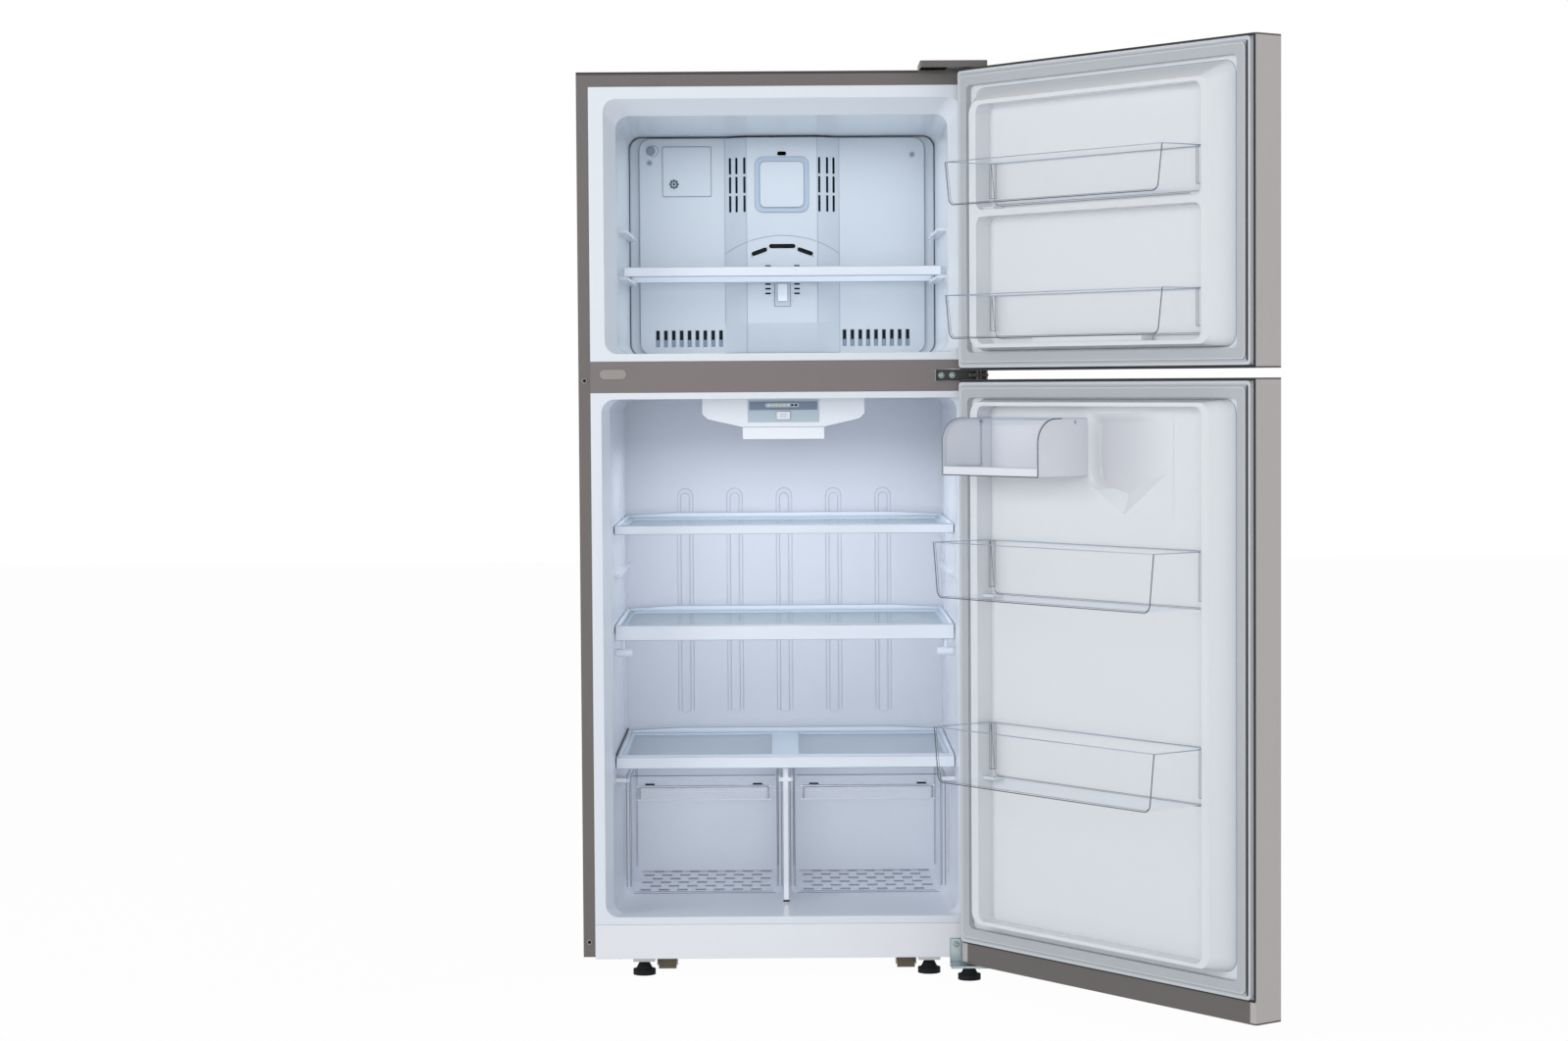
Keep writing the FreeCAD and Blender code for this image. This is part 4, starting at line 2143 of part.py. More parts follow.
def make_roller(label, start, y, length):
    body = new_body(label)
    rod(body, "tyre", "x", (start, y, "roller_radius"), "roller_radius", length)
    rod(body, "bore", "x", (start, y, "roller_radius"), "axle_radius + axle_clearance", length, cut=True)
    return body


def make_base():
    """The brackets under the cabinet that hold the feet and rollers, and the machine's base plate."""
    body = new_body("base_brackets")
    rear = ("machine_base_front", "cabinet_depth - case_sheet")
    block(
        body,
        "machine_base",
        both_ways("machine_base_half"),
        rear,
        ("cabinet_base - case_sheet * 2", "cabinet_base"),
    )
    motor = "(condenser_fan_x - fan_end_gap - condenser_motor_length)"
    centre = (motor, "condenser_fan_y", "condenser_fan_level")
    post_y = ("condenser_fan_y - fan_motor_radius / 2", "condenser_fan_y + fan_motor_radius / 2")
    block(
        body,
        "fan_post",
        (motor, f"{motor} + condenser_motor_length / 2"),
        post_y,
        ("cabinet_base", "condenser_fan_level"),
    )
    rod(body, "fan_motor", "x", centre, "fan_motor_radius", "condenser_motor_length")
    centre = ("condenser_fan_x - fan_end_gap", "condenser_fan_y", "condenser_fan_level")
    rod(body, "fan_shaft", "x", centre, "shaft_radius", "fan_depth + fan_end_gap")
    for side, sign in (("left", "-"), ("right", "")):
        foot_x = f"({sign}foot_spacing / 2)"
        x = (f"{foot_x} - bushing_half", f"{foot_x} + bushing_half")
        y = ("foot_setback - bushing_half", "foot_setback + bushing_half")
        block(body, f"bushing_{side}", x, y, ("foot_height", "cabinet_base"))
        hole = (foot_x, "foot_setback", "foot_height")
        rod(
            body,
            f"stem_hole_{side}",
            "z",
            hole,
            "stem_radius + pin_clearance",
            "cabinet_base - foot_height",
            cut=True,
        )
        for place, centre_y in (("front", "roller_setback"), ("rear", "rear_roller_setback")):
            start = "roller_inner" if not sign else "0 - roller_inner - roller_width"
            top = "cabinet_base" if place == "front" else "cabinet_base - case_sheet * 2"
            ends = (f"{start} - axle_end_gap - fork_wall", f"{start} + roller_width + axle_end_gap")
            for number, edge in enumerate(ends):
                fork_x = (edge, f"{edge} + fork_wall")
                fork_y = (f"{centre_y} - fork_half", f"{centre_y} + fork_half")
                block(body, f"fork_{place}_{side}_{number}", fork_x, fork_y, ("fork_low", top))
            axle = "roller_width + 2 * axle_end_gap + 2 * fork_wall"
            centre = (ends[0], centre_y, "roller_radius")
            rod(body, f"axle_{place}_{side}", "x", centre, "axle_radius", axle)
    for side, start in (("left", "0 - roller_inner - roller_width"), ("right", "roller_inner")):
        make_roller(f"front_roller_{side}", start, "roller_setback", "roller_width")
        make_roller(f"rear_roller_{side}", start, "rear_roller_setback", "roller_width")
        sign = "-" if side == "left" else ""
        make_foot(f"front_foot_{side}", (f"({sign}foot_spacing / 2)", "foot_setback"), "cabinet_base")
    make_foot("hinge_foot", (f"{HINGE_X} - hinge_foot_offset", HINGE_Y), "door_clearance - stem_clearance")


# ---------------------------------------------------------------- machine compartment


def make_machine():
    """The compressor, the condenser and its tray, and the cover at the back."""
    body = new_body("compressor")
    centre = ("compressor_x", "compressor_y")
    block(
        body,
        "base",
        ("compressor_x - compressor_radius", "compressor_x + compressor_radius"),
        ("compressor_y - compressor_foot", "compressor_y + compressor_foot"),
        ("cabinet_base", "cabinet_base + compressor_stand"),
    )
    shell = "(cabinet_base + compressor_stand)"
    rod(body, "shell", "z", (*centre, shell), "compressor_radius", "compressor_body")
    top = value(f"{shell} + compressor_body")
    round_off(body, "dome", "compressor_round", lambda e: e.Closed and abs(place_of(e).z - top) < SLACK)
    box = (
        "compressor_x + compressor_radius - terminal_overlap",
        "compressor_x + compressor_radius + terminal_depth",
    )
    box_y = ("compressor_y - terminal_half", "compressor_y + terminal_half")
    box_z = (f"{shell} + terminal_rise", f"{shell} + terminal_rise + terminal_height")
    block(body, "terminal_box", box, box_y, box_z)

    coil = new_body("condenser_coil")
    y = ("condenser_front", "condenser_front + condenser_depth")
    low = "(cabinet_base + pan_height)"
    z = (low, f"{low} + condenser_height")
    fin = block(coil, "fin", ("condenser_left", "condenser_left + fin_thickness"), y, z)
    row_of(coil, fin, "x", f"(condenser_length - fin_thickness) / {CONDENSER_FINS - 1}", CONDENSER_FINS)
    for column, place in enumerate(
        ("condenser_front + condenser_depth / 4", "condenser_front + 3 * condenser_depth / 4")
    ):
        start = ("condenser_left - coil_overhang", place, f"{low} + condenser_height / 6")
        tube = rod(
            coil, f"tube_{column}", "x", start, "coil_tube_radius", "condenser_length + 2 * coil_overhang"
        )
        row_of(coil, tube, "z", f"condenser_height / {CONDENSER_ROWS}", CONDENSER_ROWS)
    header_y = (
        "condenser_front + condenser_depth / 4 - coil_tube_radius",
        "condenser_front + 3 * condenser_depth / 4 + coil_tube_radius",
    )
    for side, x in (
        ("left", "condenser_left - coil_overhang"),
        ("right", "condenser_left + condenser_length + coil_overhang - coil_header"),
    ):
        block(coil, f"header_{side}", (x, f"{x} + coil_header"), header_y, z)

    pan = new_body("drain_pan")
    x = ("condenser_left", "condenser_left + condenser_length")
    pan_z = ("cabinet_base", "cabinet_base + pan_height")
    rounded_slab(pan, "tray", "z", pan_z, x, y, "pan_corner")
    room_x = (f"{x[0]} + pan_wall", f"{x[1]} - pan_wall")
    room_y = (f"{y[0]} + pan_wall", f"{y[1]} - pan_wall")
    room_z = ("cabinet_base + pan_wall", "cabinet_base + pan_height")
    rounded_slab(pan, "room", "z", room_z, room_x, room_y, "pan_corner - pan_wall", cut=True)

    cover = new_body("machine_cover")
    sheet = ("cabinet_depth - case_sheet", "cabinet_depth")
    block(cover, "sheet", both_ways(INSIDE_CASE), sheet, ("cabinet_base", MACHINE_TOP))
    slot = block(
        cover,
        "slot",
        ("cover_slot_left", "cover_slot_left + cover_slot_width"),
        sheet,
        ("cover_slot_low", "cover_slot_low + cover_slot_height"),
        cut=True,
    )
    row_of(cover, slot, "x", "cover_slot_pitch", 12)


# ---------------------------------------------------------------- build


def check_and_export():
    """Stops if anything failed to build, then writes each node to its own file."""
    for item in document.Objects:
        if {"Invalid", "Error"} & set(item.State):
            raise RuntimeError(f"{item.Name} failed: {item.State}")
    os.makedirs("parts", exist_ok=True)
    for node in nodes:
        if node.Shape.isNull() or not node.Shape.isValid():
            raise RuntimeError(f"{node.Label} has no valid shape")
        node.Shape.exportStep(f"parts/{node.Label}.step")


def main():
    fill_sheet()
    make_wrapper()
    make_rear_panel()
    make_base_deck()
    make_foam()
    make_freezer_liner()
    make_fridge_liner()
    make_mullion_rail()
    make_front_trims()
    make_toe_panel()
    make_top_trim()
    make_evaporator_cover()
    make_cover_trims()
    make_slider()
    make_evaporator()
    make_fans()
    make_glass()
    make_freezer_shelf()
    make_shelf_frames()
    make_crisper("crisper_left", "-")
    make_crisper("crisper_right", "")
    make_crisper_rails()
    make_control()
    make_doors()
    make_centre_hinge()
    make_top_hinge()
    make_bottom_hinge()
    make_base()
    make_machine()
    document.recompute()
    check_and_export()


main()
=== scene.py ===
"""Looks for the top freezer refrigerator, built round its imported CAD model. Metres throughout."""

import json
import math

import bmesh
import bpy
from mathutils import Matrix, Vector


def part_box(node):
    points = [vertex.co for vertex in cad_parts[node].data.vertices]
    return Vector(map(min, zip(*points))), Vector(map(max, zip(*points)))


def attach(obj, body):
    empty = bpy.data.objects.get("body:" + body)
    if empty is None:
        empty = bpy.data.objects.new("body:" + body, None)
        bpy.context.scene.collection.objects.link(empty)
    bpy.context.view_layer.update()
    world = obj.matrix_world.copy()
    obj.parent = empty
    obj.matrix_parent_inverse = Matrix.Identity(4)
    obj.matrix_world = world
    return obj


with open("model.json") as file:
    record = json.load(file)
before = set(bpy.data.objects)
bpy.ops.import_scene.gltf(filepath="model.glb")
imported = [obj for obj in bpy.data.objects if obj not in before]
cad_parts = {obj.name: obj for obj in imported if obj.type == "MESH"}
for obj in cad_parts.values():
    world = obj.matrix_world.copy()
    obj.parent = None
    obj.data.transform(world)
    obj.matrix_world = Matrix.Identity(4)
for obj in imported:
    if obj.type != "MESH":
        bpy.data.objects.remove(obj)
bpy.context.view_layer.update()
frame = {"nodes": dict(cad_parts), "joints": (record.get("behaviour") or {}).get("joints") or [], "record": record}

scene = bpy.context.scene
scene.view_settings.view_transform = "Standard"

# ---------------------------------------------------------------- camera, light and stage

CAMERA_PLACE = (0.0, -6.003, 1.1057)
CAMERA_PITCH = math.radians(2.46)
CAMERA_ROLL = math.radians(0.37)
CAMERA_LENS = 74.65
SENSOR_WIDTH = 36.0
FLOOR_REACH = 14.0
FLOOR_VEIL = 0.97
WORLD_LIGHT = 0.42
ROOM_TINT = (0.95, 0.98, 1.0)
ROOM_LAMP_SIZE = (0.52, 0.34)
ROOM_LAMP_Y = 0.31
ROOM_AIM_Y = 0.33
ROOM_LAMP_DROP = 0.012


def set_camera():
    data = bpy.data.cameras.new("camera")
    data.lens = CAMERA_LENS
    data.sensor_width = SENSOR_WIDTH
    camera = bpy.data.objects.new("camera", data)
    scene.collection.objects.link(camera)
    turn = Matrix.Rotation(math.pi / 2 - CAMERA_PITCH, 4, "X") @ Matrix.Rotation(-CAMERA_ROLL, 4, "Z")
    camera.matrix_world = Matrix.Translation(CAMERA_PLACE) @ turn
    scene.camera = camera


def area_light(name, place, target, size, power, colour=(1, 1, 1)):
    data = bpy.data.lights.new(name, "AREA")
    data.shape = "RECTANGLE"
    data.size, data.size_y = size
    data.energy = power
    data.color = colour
    light = bpy.data.objects.new(name, data)
    scene.collection.objects.link(light)
    light.location = place
    way = Vector(target) - Vector(place)
    light.rotation_euler = way.to_track_quat("-Z", "Y").to_euler()
    return light


def camera_ray_white(tree, lit, seen):
    """A shader that lights as `lit` and shows as `seen` to the camera, mirrors and glass."""
    path = tree.nodes.new("ShaderNodeLightPath")
    first = tree.nodes.new("ShaderNodeMath")
    first.operation = "MAXIMUM"
    tree.links.new(path.outputs["Is Camera Ray"], first.inputs[0])
    tree.links.new(path.outputs["Is Glossy Ray"], first.inputs[1])
    second = tree.nodes.new("ShaderNodeMath")
    second.operation = "MAXIMUM"
    tree.links.new(first.outputs[0], second.inputs[0])
    tree.links.new(path.outputs["Is Transmission Ray"], second.inputs[1])
    mix = tree.nodes.new("ShaderNodeMixShader")
    tree.links.new(second.outputs[0], mix.inputs[0])
    tree.links.new(lit, mix.inputs[1])
    tree.links.new(seen, mix.inputs[2])
    return mix.outputs[0]


def set_world():
    world = bpy.data.worlds.new("studio")
    scene.world = world
    world.use_nodes = True
    tree = world.node_tree
    tree.nodes.clear()
    out = tree.nodes.new("ShaderNodeOutputWorld")
    lit = tree.nodes.new("ShaderNodeBackground")
    lit.inputs["Color"].default_value = (0.96, 0.98, 1.0, 1)
    lit.inputs["Strength"].default_value = WORLD_LIGHT
    seen = tree.nodes.new("ShaderNodeBackground")
    seen.inputs["Color"].default_value = (1, 1, 1, 1)
    seen.inputs["Strength"].default_value = 1.0
    tree.links.new(camera_ray_white(tree, lit.outputs[0], seen.outputs[0]), out.inputs["Surface"])


def set_floor():
    mesh = bpy.data.meshes.new("floor")
    near, far = -FLOOR_REACH, FLOOR_REACH
    corners = [(near, near, 0), (far, near, 0), (far, far, 0), (near, far, 0)]
    mesh.from_pydata(corners, [], [(0, 1, 2, 3)])
    floor = bpy.data.objects.new("floor", mesh)
    scene.collection.objects.link(floor)
    material = bpy.data.materials.new("floor")
    material.use_nodes = True
    tree = material.node_tree
    shader = tree.nodes["Principled BSDF"]
    shader.inputs["Base Color"].default_value = (0.97, 0.97, 0.97, 1)
    shader.inputs["Roughness"].default_value = 0.8
    shader.inputs["Specular IOR Level"].default_value = 0.1
    glow = tree.nodes.new("ShaderNodeEmission")
    veil = tree.nodes.new("ShaderNodeMixShader")
    veil.inputs[0].default_value = FLOOR_VEIL
    tree.links.new(shader.outputs[0], veil.inputs[1])
    tree.links.new(glow.outputs[0], veil.inputs[2])
    seen = camera_ray_white(tree, shader.outputs[0], veil.outputs[0])
    tree.links.new(seen, tree.nodes["Material Output"].inputs["Surface"])
    mesh.materials.append(material)


def room_light(name, ceiling, power):
    """A soft panel that lights a compartment from its ceiling and itself never shows."""
    place = (0, ROOM_LAMP_Y, ceiling - ROOM_LAMP_DROP)
    light = area_light(name, place, (0, ROOM_AIM_Y, ceiling - 1), ROOM_LAMP_SIZE, power, ROOM_TINT)
    light.visible_camera = False
    light.visible_glossy = False
    light.visible_transmission = False


def light_rooms():
    levels = (
        ("freezer_upper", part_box("evaporator_cover")[1][2], 0.6),
        ("freezer_lower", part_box("freezer_shelf_trim")[0][2], 0.35),
        ("fridge_upper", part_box("lamp_cover")[0][2], 1.15),
        ("fridge_middle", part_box("upper_shelf_frame")[0][2], 0.08),
        ("drawers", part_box("crisper_cover_frame")[0][2], 0.12),
    )
    for name, ceiling, power in levels:
        room_light(name + "_light", ceiling, power)


set_camera()
set_world()
set_floor()
area_light("front", (-0.5, -6.6, 1.9), (0.1, 0, 0.9), (4.0, 2.6), 95).visible_glossy = False
area_light("key", (-4.2, -3.2, 2.2), (0.4, 0, 0.9), (2.4, 2.4), 94)
area_light("fill", (3.2, -3.4, 2.9), (0.4, -0.3, 1.3), (1.6, 1.6), 20)
light_rooms()

# ---------------------------------------------------------------- materials

DRIFT_SCALE = 4.0
SMUDGE_SCALE = 9.0
HAZE_SCALE = 12.0
GRAIN_DEPTH = 0.0001
METAL_DEPTH = 0.0003
METAL_EDGE = 0.0008
BEVEL_SAMPLES = 4
FACING_BLEND = 0.3
FACING_POWER = 4.0
CLEAR_FACE = (0.997, 0.998, 1.0, 1)


def new_material(name):
    material = bpy.data.materials.new(name)
    material.use_nodes = True
    tree = material.node_tree
    return material, tree, tree.nodes["Principled BSDF"]


def add_node(tree, kind, **values):
    node = tree.nodes.new(kind)
    for key, value in values.items():
        if hasattr(node, key):
            setattr(node, key, value)
        else:
            node.inputs[key.replace("_", " ")].default_value = value
    return node


def shade(colour, factor):
    return tuple(min(1.0, part * factor) for part in colour[:3]) + (1,)


def noise(tree, scale, detail=2.0, stretch=(1, 1, 1)):
    where = tree.nodes.new("ShaderNodeTexCoord")
    mapping = tree.nodes.new("ShaderNodeMapping")
    mapping.inputs["Scale"].default_value = stretch
    tree.links.new(where.outputs["Object"], mapping.inputs["Vector"])
    texture = add_node(tree, "ShaderNodeTexNoise", Scale=scale, Detail=detail)
    tree.links.new(mapping.outputs[0], texture.inputs["Vector"])
    return texture.outputs["Fac"]


def blend(tree, factor, first, second):
    """A colour that goes from first to second with the factor."""
    mix = tree.nodes.new("ShaderNodeMix")
    mix.data_type = "RGBA"
    mix.inputs[6].default_value = first
    mix.inputs[7].default_value = second
    tree.links.new(factor, mix.inputs[0])
    return mix.outputs[2]


def span(tree, factor, low, high):
    node = tree.nodes.new("ShaderNodeMapRange")
    node.inputs["To Min"].default_value = low
    node.inputs["To Max"].default_value = high
    tree.links.new(factor, node.inputs["Value"])
    return node.outputs[0]


def tint(tree, shader, colour, variation, factor):
    """Colour that drifts a little either side of its mean."""
    drift = blend(tree, factor, shade(colour, 1 - variation), shade(colour, 1 + variation))
    tree.links.new(drift, shader.inputs["Base Color"])


def rough(tree, shader, factor, low, high):
    tree.links.new(span(tree, factor, low, high), shader.inputs["Roughness"])


def surface(tree, shader, height, strength, distance, edge):
    """Fine relief over edges that look slightly rounded."""
    relief = add_node(tree, "ShaderNodeBump", Strength=strength, Distance=distance)
    tree.links.new(height, relief.inputs["Height"])
    bevel = add_node(tree, "ShaderNodeBevel", samples=BEVEL_SAMPLES)
    bevel.inputs["Radius"].default_value = edge
    tree.links.new(bevel.outputs[0], relief.inputs["Normal"])
    tree.links.new(relief.outputs[0], shader.inputs["Normal"])


def plastic(
    name, colour, roughness=0.35, grain=900.0, strength=0.03, variation=0.006, specular=0.5, edge=0.0012
):
    """Moulded plastic: a very faint drift of colour, a fine moulding grain and softened edges."""
    material, tree, shader = new_material(name)
    tint(tree, shader, colour, variation, noise(tree, DRIFT_SCALE))
    rough(tree, shader, noise(tree, SMUDGE_SCALE), roughness * 0.96, roughness * 1.04)
    shader.inputs["Specular IOR Level"].default_value = specular
    surface(tree, shader, noise(tree, grain), strength, GRAIN_DEPTH, edge)
    return material


def metal(
    name, colour, roughness=0.35, stretch=(1, 1, 1), scale=200.0, strength=0.1, metallic=1.0, variation=0.05
):
    """Sheet or plated metal, its grain drawn out along the stretch's small side."""
    material, tree, shader = new_material(name)
    shader.inputs["Metallic"].default_value = metallic
    grain = noise(tree, scale, 3.0, stretch)
    tint(tree, shader, colour, variation, grain)
    rough(tree, shader, grain, roughness * 0.85, roughness * 1.2)
    surface(tree, shader, grain, strength, METAL_DEPTH, METAL_EDGE)
    return material


def clear(name, colour, cover, rim, edge_colour, roughness=0.06):
    """Clear plastic or glass: next to nothing face on, a pale sheen and a darker tint along its skin."""
    material, tree, shader = new_material(name)
    weight = add_node(tree, "ShaderNodeLayerWeight", Blend=FACING_BLEND)
    drift = noise(tree, HAZE_SCALE)
    tint(tree, shader, colour, 0.02, drift)
    rough(tree, shader, drift, roughness, roughness * 1.5)
    power = add_node(tree, "ShaderNodeMath", operation="POWER")
    power.inputs[1].default_value = FACING_POWER
    tree.links.new(weight.outputs["Facing"], power.inputs[0])
    through = tree.nodes.new("ShaderNodeBsdfTransparent")
    seen_through = blend(tree, power.outputs[0], CLEAR_FACE, (*edge_colour, 1))
    tree.links.new(seen_through, through.inputs["Color"])
    mix = tree.nodes.new("ShaderNodeMixShader")
    tree.links.new(span(tree, power.outputs[0], cover, rim), mix.inputs[0])
    tree.links.new(through.outputs[0], mix.inputs[1])
    tree.links.new(shader.outputs[0], mix.inputs[2])
    tree.links.new(mix.outputs[0], tree.nodes["Material Output"].inputs["Surface"])
    return material


def painted_shade_liner(name, colour, deep):
    """The door liner's plastic with painted shade: darker where the mesh's own shade value is high, deep in the
    scoop and towards its steep left side.
    """
    material = plastic(name, colour, 0.2)
    tree = material.node_tree
    sunk_shade = add_node(tree, "ShaderNodeAttribute", attribute_name="sunk_shade")
    shaded = blend(tree, sunk_shade.outputs["Fac"], (*colour, 1), (*deep, 1))
    tree.links.new(shaded, tree.nodes["Principled BSDF"].inputs["Base Color"])
    return material


def make_materials():
    return {
        # The case's grey is darker than the steel's own: painted shade, for its side seen at a grazing angle.
        "case": metal(
            "case_pebbled_steel", (0.15, 0.14, 0.135), 0.5,
            scale=450.0, strength=0.9, metallic=0.25, variation=0.28
        ),
        "flange": metal(
            "flange_painted_steel", (0.194, 0.170, 0.172), 0.42,
            scale=300.0, strength=0.05, metallic=0.2, variation=0.03
        ),
        "fixings": metal(
            "fixings_painted", (0.30, 0.275, 0.262), 0.4,
            scale=300.0, strength=0.05, metallic=0.1, variation=0.03
        ),
        "door": metal(
            "door_brushed_steel", (0.46, 0.435, 0.437), 0.36, (1, 1, 0.03), 900.0, 0.12, 0.55, 0.05
        ),
        "galvanised": metal(
            "galvanised_sheet", (0.52, 0.53, 0.54), 0.45,
            scale=25.0, strength=0.05, metallic=0.8, variation=0.12
        ),
        "zinc": metal("zinc_plate", (0.44, 0.52, 0.54), 0.28, scale=120.0, strength=0.06, variation=0.08),
        "chrome": metal("dark_chrome", (0.06, 0.058, 0.058), 0.3, scale=90.0, strength=0.05, variation=0.12),
        "foam": plastic("rigid_foam", (0.72, 0.62, 0.36), 0.8, 250.0, 0.5, 0.1),
        "liner": plastic("liner_blue_white", (0.742, 0.780, 0.848), 0.2),
        "freezer_liner": plastic("freezer_liner_blue_white", (0.73, 0.775, 0.83), 0.2),
        "door_liner": plastic("door_liner_white", (0.725, 0.752, 0.785), 0.2),
        "toe": plastic("toe_white", (0.79, 0.81, 0.85), 0.25),
        # Gasket lips: the rubber drawn paler than the gasket, as painted highlight along its folds.
        "lip": plastic("gasket_lip", (0.575, 0.605, 0.64), 0.4),
        "dairy": plastic("dairy_white", (0.76, 0.785, 0.84), 0.25),
        # The scoop's plastic darkens towards the second colour as painted shade.
        "scoop": painted_shade_liner("scoop_white_painted_shade", (0.725, 0.752, 0.785), (0.52, 0.525, 0.575)),
        "white": plastic("moulded_white", (0.905, 0.943, 1.0), 0.28),
        "trim": plastic("shelf_trim_white", (0.80, 0.86, 0.95), 0.25),
        "cover": plastic("duct_cover_white", (0.66, 0.71, 0.765), 0.3, edge=0.004),
        "cap": plastic("cap_grey", (0.118, 0.106, 0.104), 0.45, 500.0, 0.15, 0.05),
        "dark": plastic("dark_plastic", (0.035, 0.035, 0.038), 0.5, 500.0, 0.2, 0.1),
        # Black: the feet's own plastic, and painted shade in holes and vents and behind the louvres.
        "black": plastic("black_and_painted_shade", (0.008, 0.009, 0.011), 0.7, 500.0, 0.1, 0.1, 0.2),
        # Gasket grey: darker than the rubber's own, as painted shade like that on its recessed band.
        "gasket": plastic("gasket_grey", (0.44, 0.468, 0.495), 0.5, 400.0, 0.1, 0.02),
        # Near black: painted shade in the gaps round the gaskets and beside the crisper cover.
        "gap_shade": plastic("gap_shade_black", (0.012, 0.012, 0.014), 0.6, 400.0, 0.1, 0.05),
        "panel": plastic("panel_blue_grey", (0.50, 0.60, 0.68), 0.3),
        "band": plastic("panel_dark_band", (0.20, 0.25, 0.35), 0.3),
        "pad_ring": plastic("pad_ring_blue", (0.46, 0.55, 0.67), 0.3),
        "plug": plastic("round_plug_grey", (0.30, 0.34, 0.39), 0.3),
        "lens": plastic("indicator_pale_yellow", (0.86, 0.88, 0.50), 0.2),
        # Blue-grey: printed marks, and painted shade in grooves, creases and gaps and along edges.
        "shade_and_print": plastic("shade_and_print_blue_grey", (0.25, 0.33, 0.42), 0.4),
        "faint": plastic("faint_edge", (0.45, 0.53, 0.64), 0.3),
        "trace": plastic("trace_edge", (0.62, 0.67, 0.76), 0.3),
        "line": plastic("clear_edge_dark", (0.10, 0.115, 0.14), 0.15),
        "tan": plastic("roller_tan", (0.17, 0.135, 0.09), 0.5, 400.0, 0.2, 0.08),
        "black_metal": metal(
            "machine_black", (0.02, 0.02, 0.022), 0.4, scale=80.0, metallic=0.1, variation=0.2
        ),
        "aluminium": metal("fin_aluminium", (0.70, 0.71, 0.72), 0.3, scale=300.0, variation=0.05),
        "fan": plastic("fan_grey", (0.16, 0.17, 0.19), 0.4, 500.0, 0.1, 0.05),
        "clear": clear("clear_styrene", (0.90, 0.93, 0.97), 0.01, 0.14, (0.88, 0.91, 0.95)),
        "drawer": clear("drawer_styrene", (0.74, 0.79, 0.88), 0.12, 0.3, (0.80, 0.84, 0.90)),
        "glass": clear("shelf_glass", (0.80, 0.89, 0.93), 0.03, 0.35, (0.70, 0.80, 0.84)),
    }


MATERIALS = make_materials()

LOOKS = {
    "case": ["cabinet_wrapper"],
    "flange": ["mullion_rail"],
    "fixings": ["front_trims"],
    "door": ["freezer_door_panel", "fridge_door_panel"],
    "galvanised": ["rear_panel", "base_deck", "base_brackets", "machine_cover"],
    "chrome": ["centre_hinge"],
    "zinc": ["top_hinge", "bottom_hinge"],
    "foam": ["cabinet_foam", "freezer_door_foam", "fridge_door_foam"],
    "liner": ["fridge_liner"],
    "freezer_liner": ["freezer_liner"],
    "door_liner": ["freezer_door_liner", "fridge_door_liner"],
    "toe": ["toe_panel"],
    "dairy": ["dairy_box"],
    "white": ["control_housing", "lamp_cover", "control_button", "freezer_slider", "crisper_rails"],
    "trim": ["freezer_shelf_trim", "upper_shelf_frame", "lower_shelf_frame", "crisper_cover_frame"],
    "cover": ["evaporator_cover", "evaporator_cover_trims"],
    "cap": ["freezer_door_caps", "fridge_door_caps", "top_hinge_cover"],
    "dark": ["top_edge_trim", "drain_pan"],
    "black": ["front_foot_left", "front_foot_right", "hinge_foot"],
    "gasket": ["freezer_door_gasket", "fridge_door_gasket"],
    "panel": ["control_panel"],
    "tan": ["front_roller_left", "front_roller_right", "rear_roller_left", "rear_roller_right"],
    "black_metal": ["compressor", "condenser_coil"],
    "aluminium": ["evaporator"],
    "fan": ["evaporator_fan", "condenser_fan"],
    "clear": [
        "freezer_bin_upper",
        "freezer_bin_lower",
        "fridge_bin_upper",
        "fridge_bin_lower",
        "dairy_lid",
    ],
    "drawer": ["crisper_left", "crisper_right"],
    "glass": ["shelf_glass"],
}


def dress_nodes():
    for look, names in LOOKS.items():
        for name in names:
            node = frame["nodes"][name]
            node.data.materials.clear()
            node.data.materials.append(MATERIALS[look])
    dressed = {name for names in LOOKS.values() for name in names}
    for name in LOOKS["clear"] + LOOKS["drawer"] + LOOKS["glass"]:
        frame["nodes"][name].visible_shadow = False
        frame["nodes"][name].visible_diffuse = False
    bare = sorted(set(frame["nodes"]) - dressed)
    if bare:
        raise RuntimeError(f"no look for {bare}")


dress_nodes()

# ---------------------------------------------------------------- how pieces are made

RECORD = frame["record"]
BODY_OF = {node: body for body, nodes in RECORD["behaviour"]["bodies"].items() for node in nodes}
DOOR_AXES = [Vector(joint["pos_m"]) for joint in frame["joints"] if joint["name"] == "fridge_door_hinge"]
DOOR_AXIS = DOOR_AXES[0]
OPEN_TURN = Matrix.Rotation(math.radians(127), 3, "Z")
DOOR_FREE = -0.7355
DOOR_HINGE = 0.0195
DOOR_INNER = 0.027
ARC_STEPS = 8
QUARTER = [math.pi / 2 * step / ARC_STEPS for step in range(ARC_STEPS + 1)]
SAME_PLACE = 1e-6
ON_FACE = 1e-4
THIN = 0.0001
SKIN = 0.0004
SOFT_ANGLE = 20
SHARP_ANGLE = 40


def on_door(point):
    """From a door's own frame, on its hinge axis, to where the open door stands."""
    turned = OPEN_TURN @ Vector((point[0], point[1], 0))
    return Vector((DOOR_AXIS.x + turned.x, DOOR_AXIS.y + turned.y, point[2]))


def in_door(point):
    """From where the open door stands to its own frame."""
    turned = OPEN_TURN.inverted() @ Vector((point[0] - DOOR_AXIS.x, point[1] - DOOR_AXIS.y, 0))
    return Vector((turned.x, turned.y, point[2]))


def clamp(value):
    return min(1.0, max(0.0, value))


def ease(value):
    """A smooth step from 0 to 1."""
    part = clamp(value)
    return part * part * (3 - 2 * part)


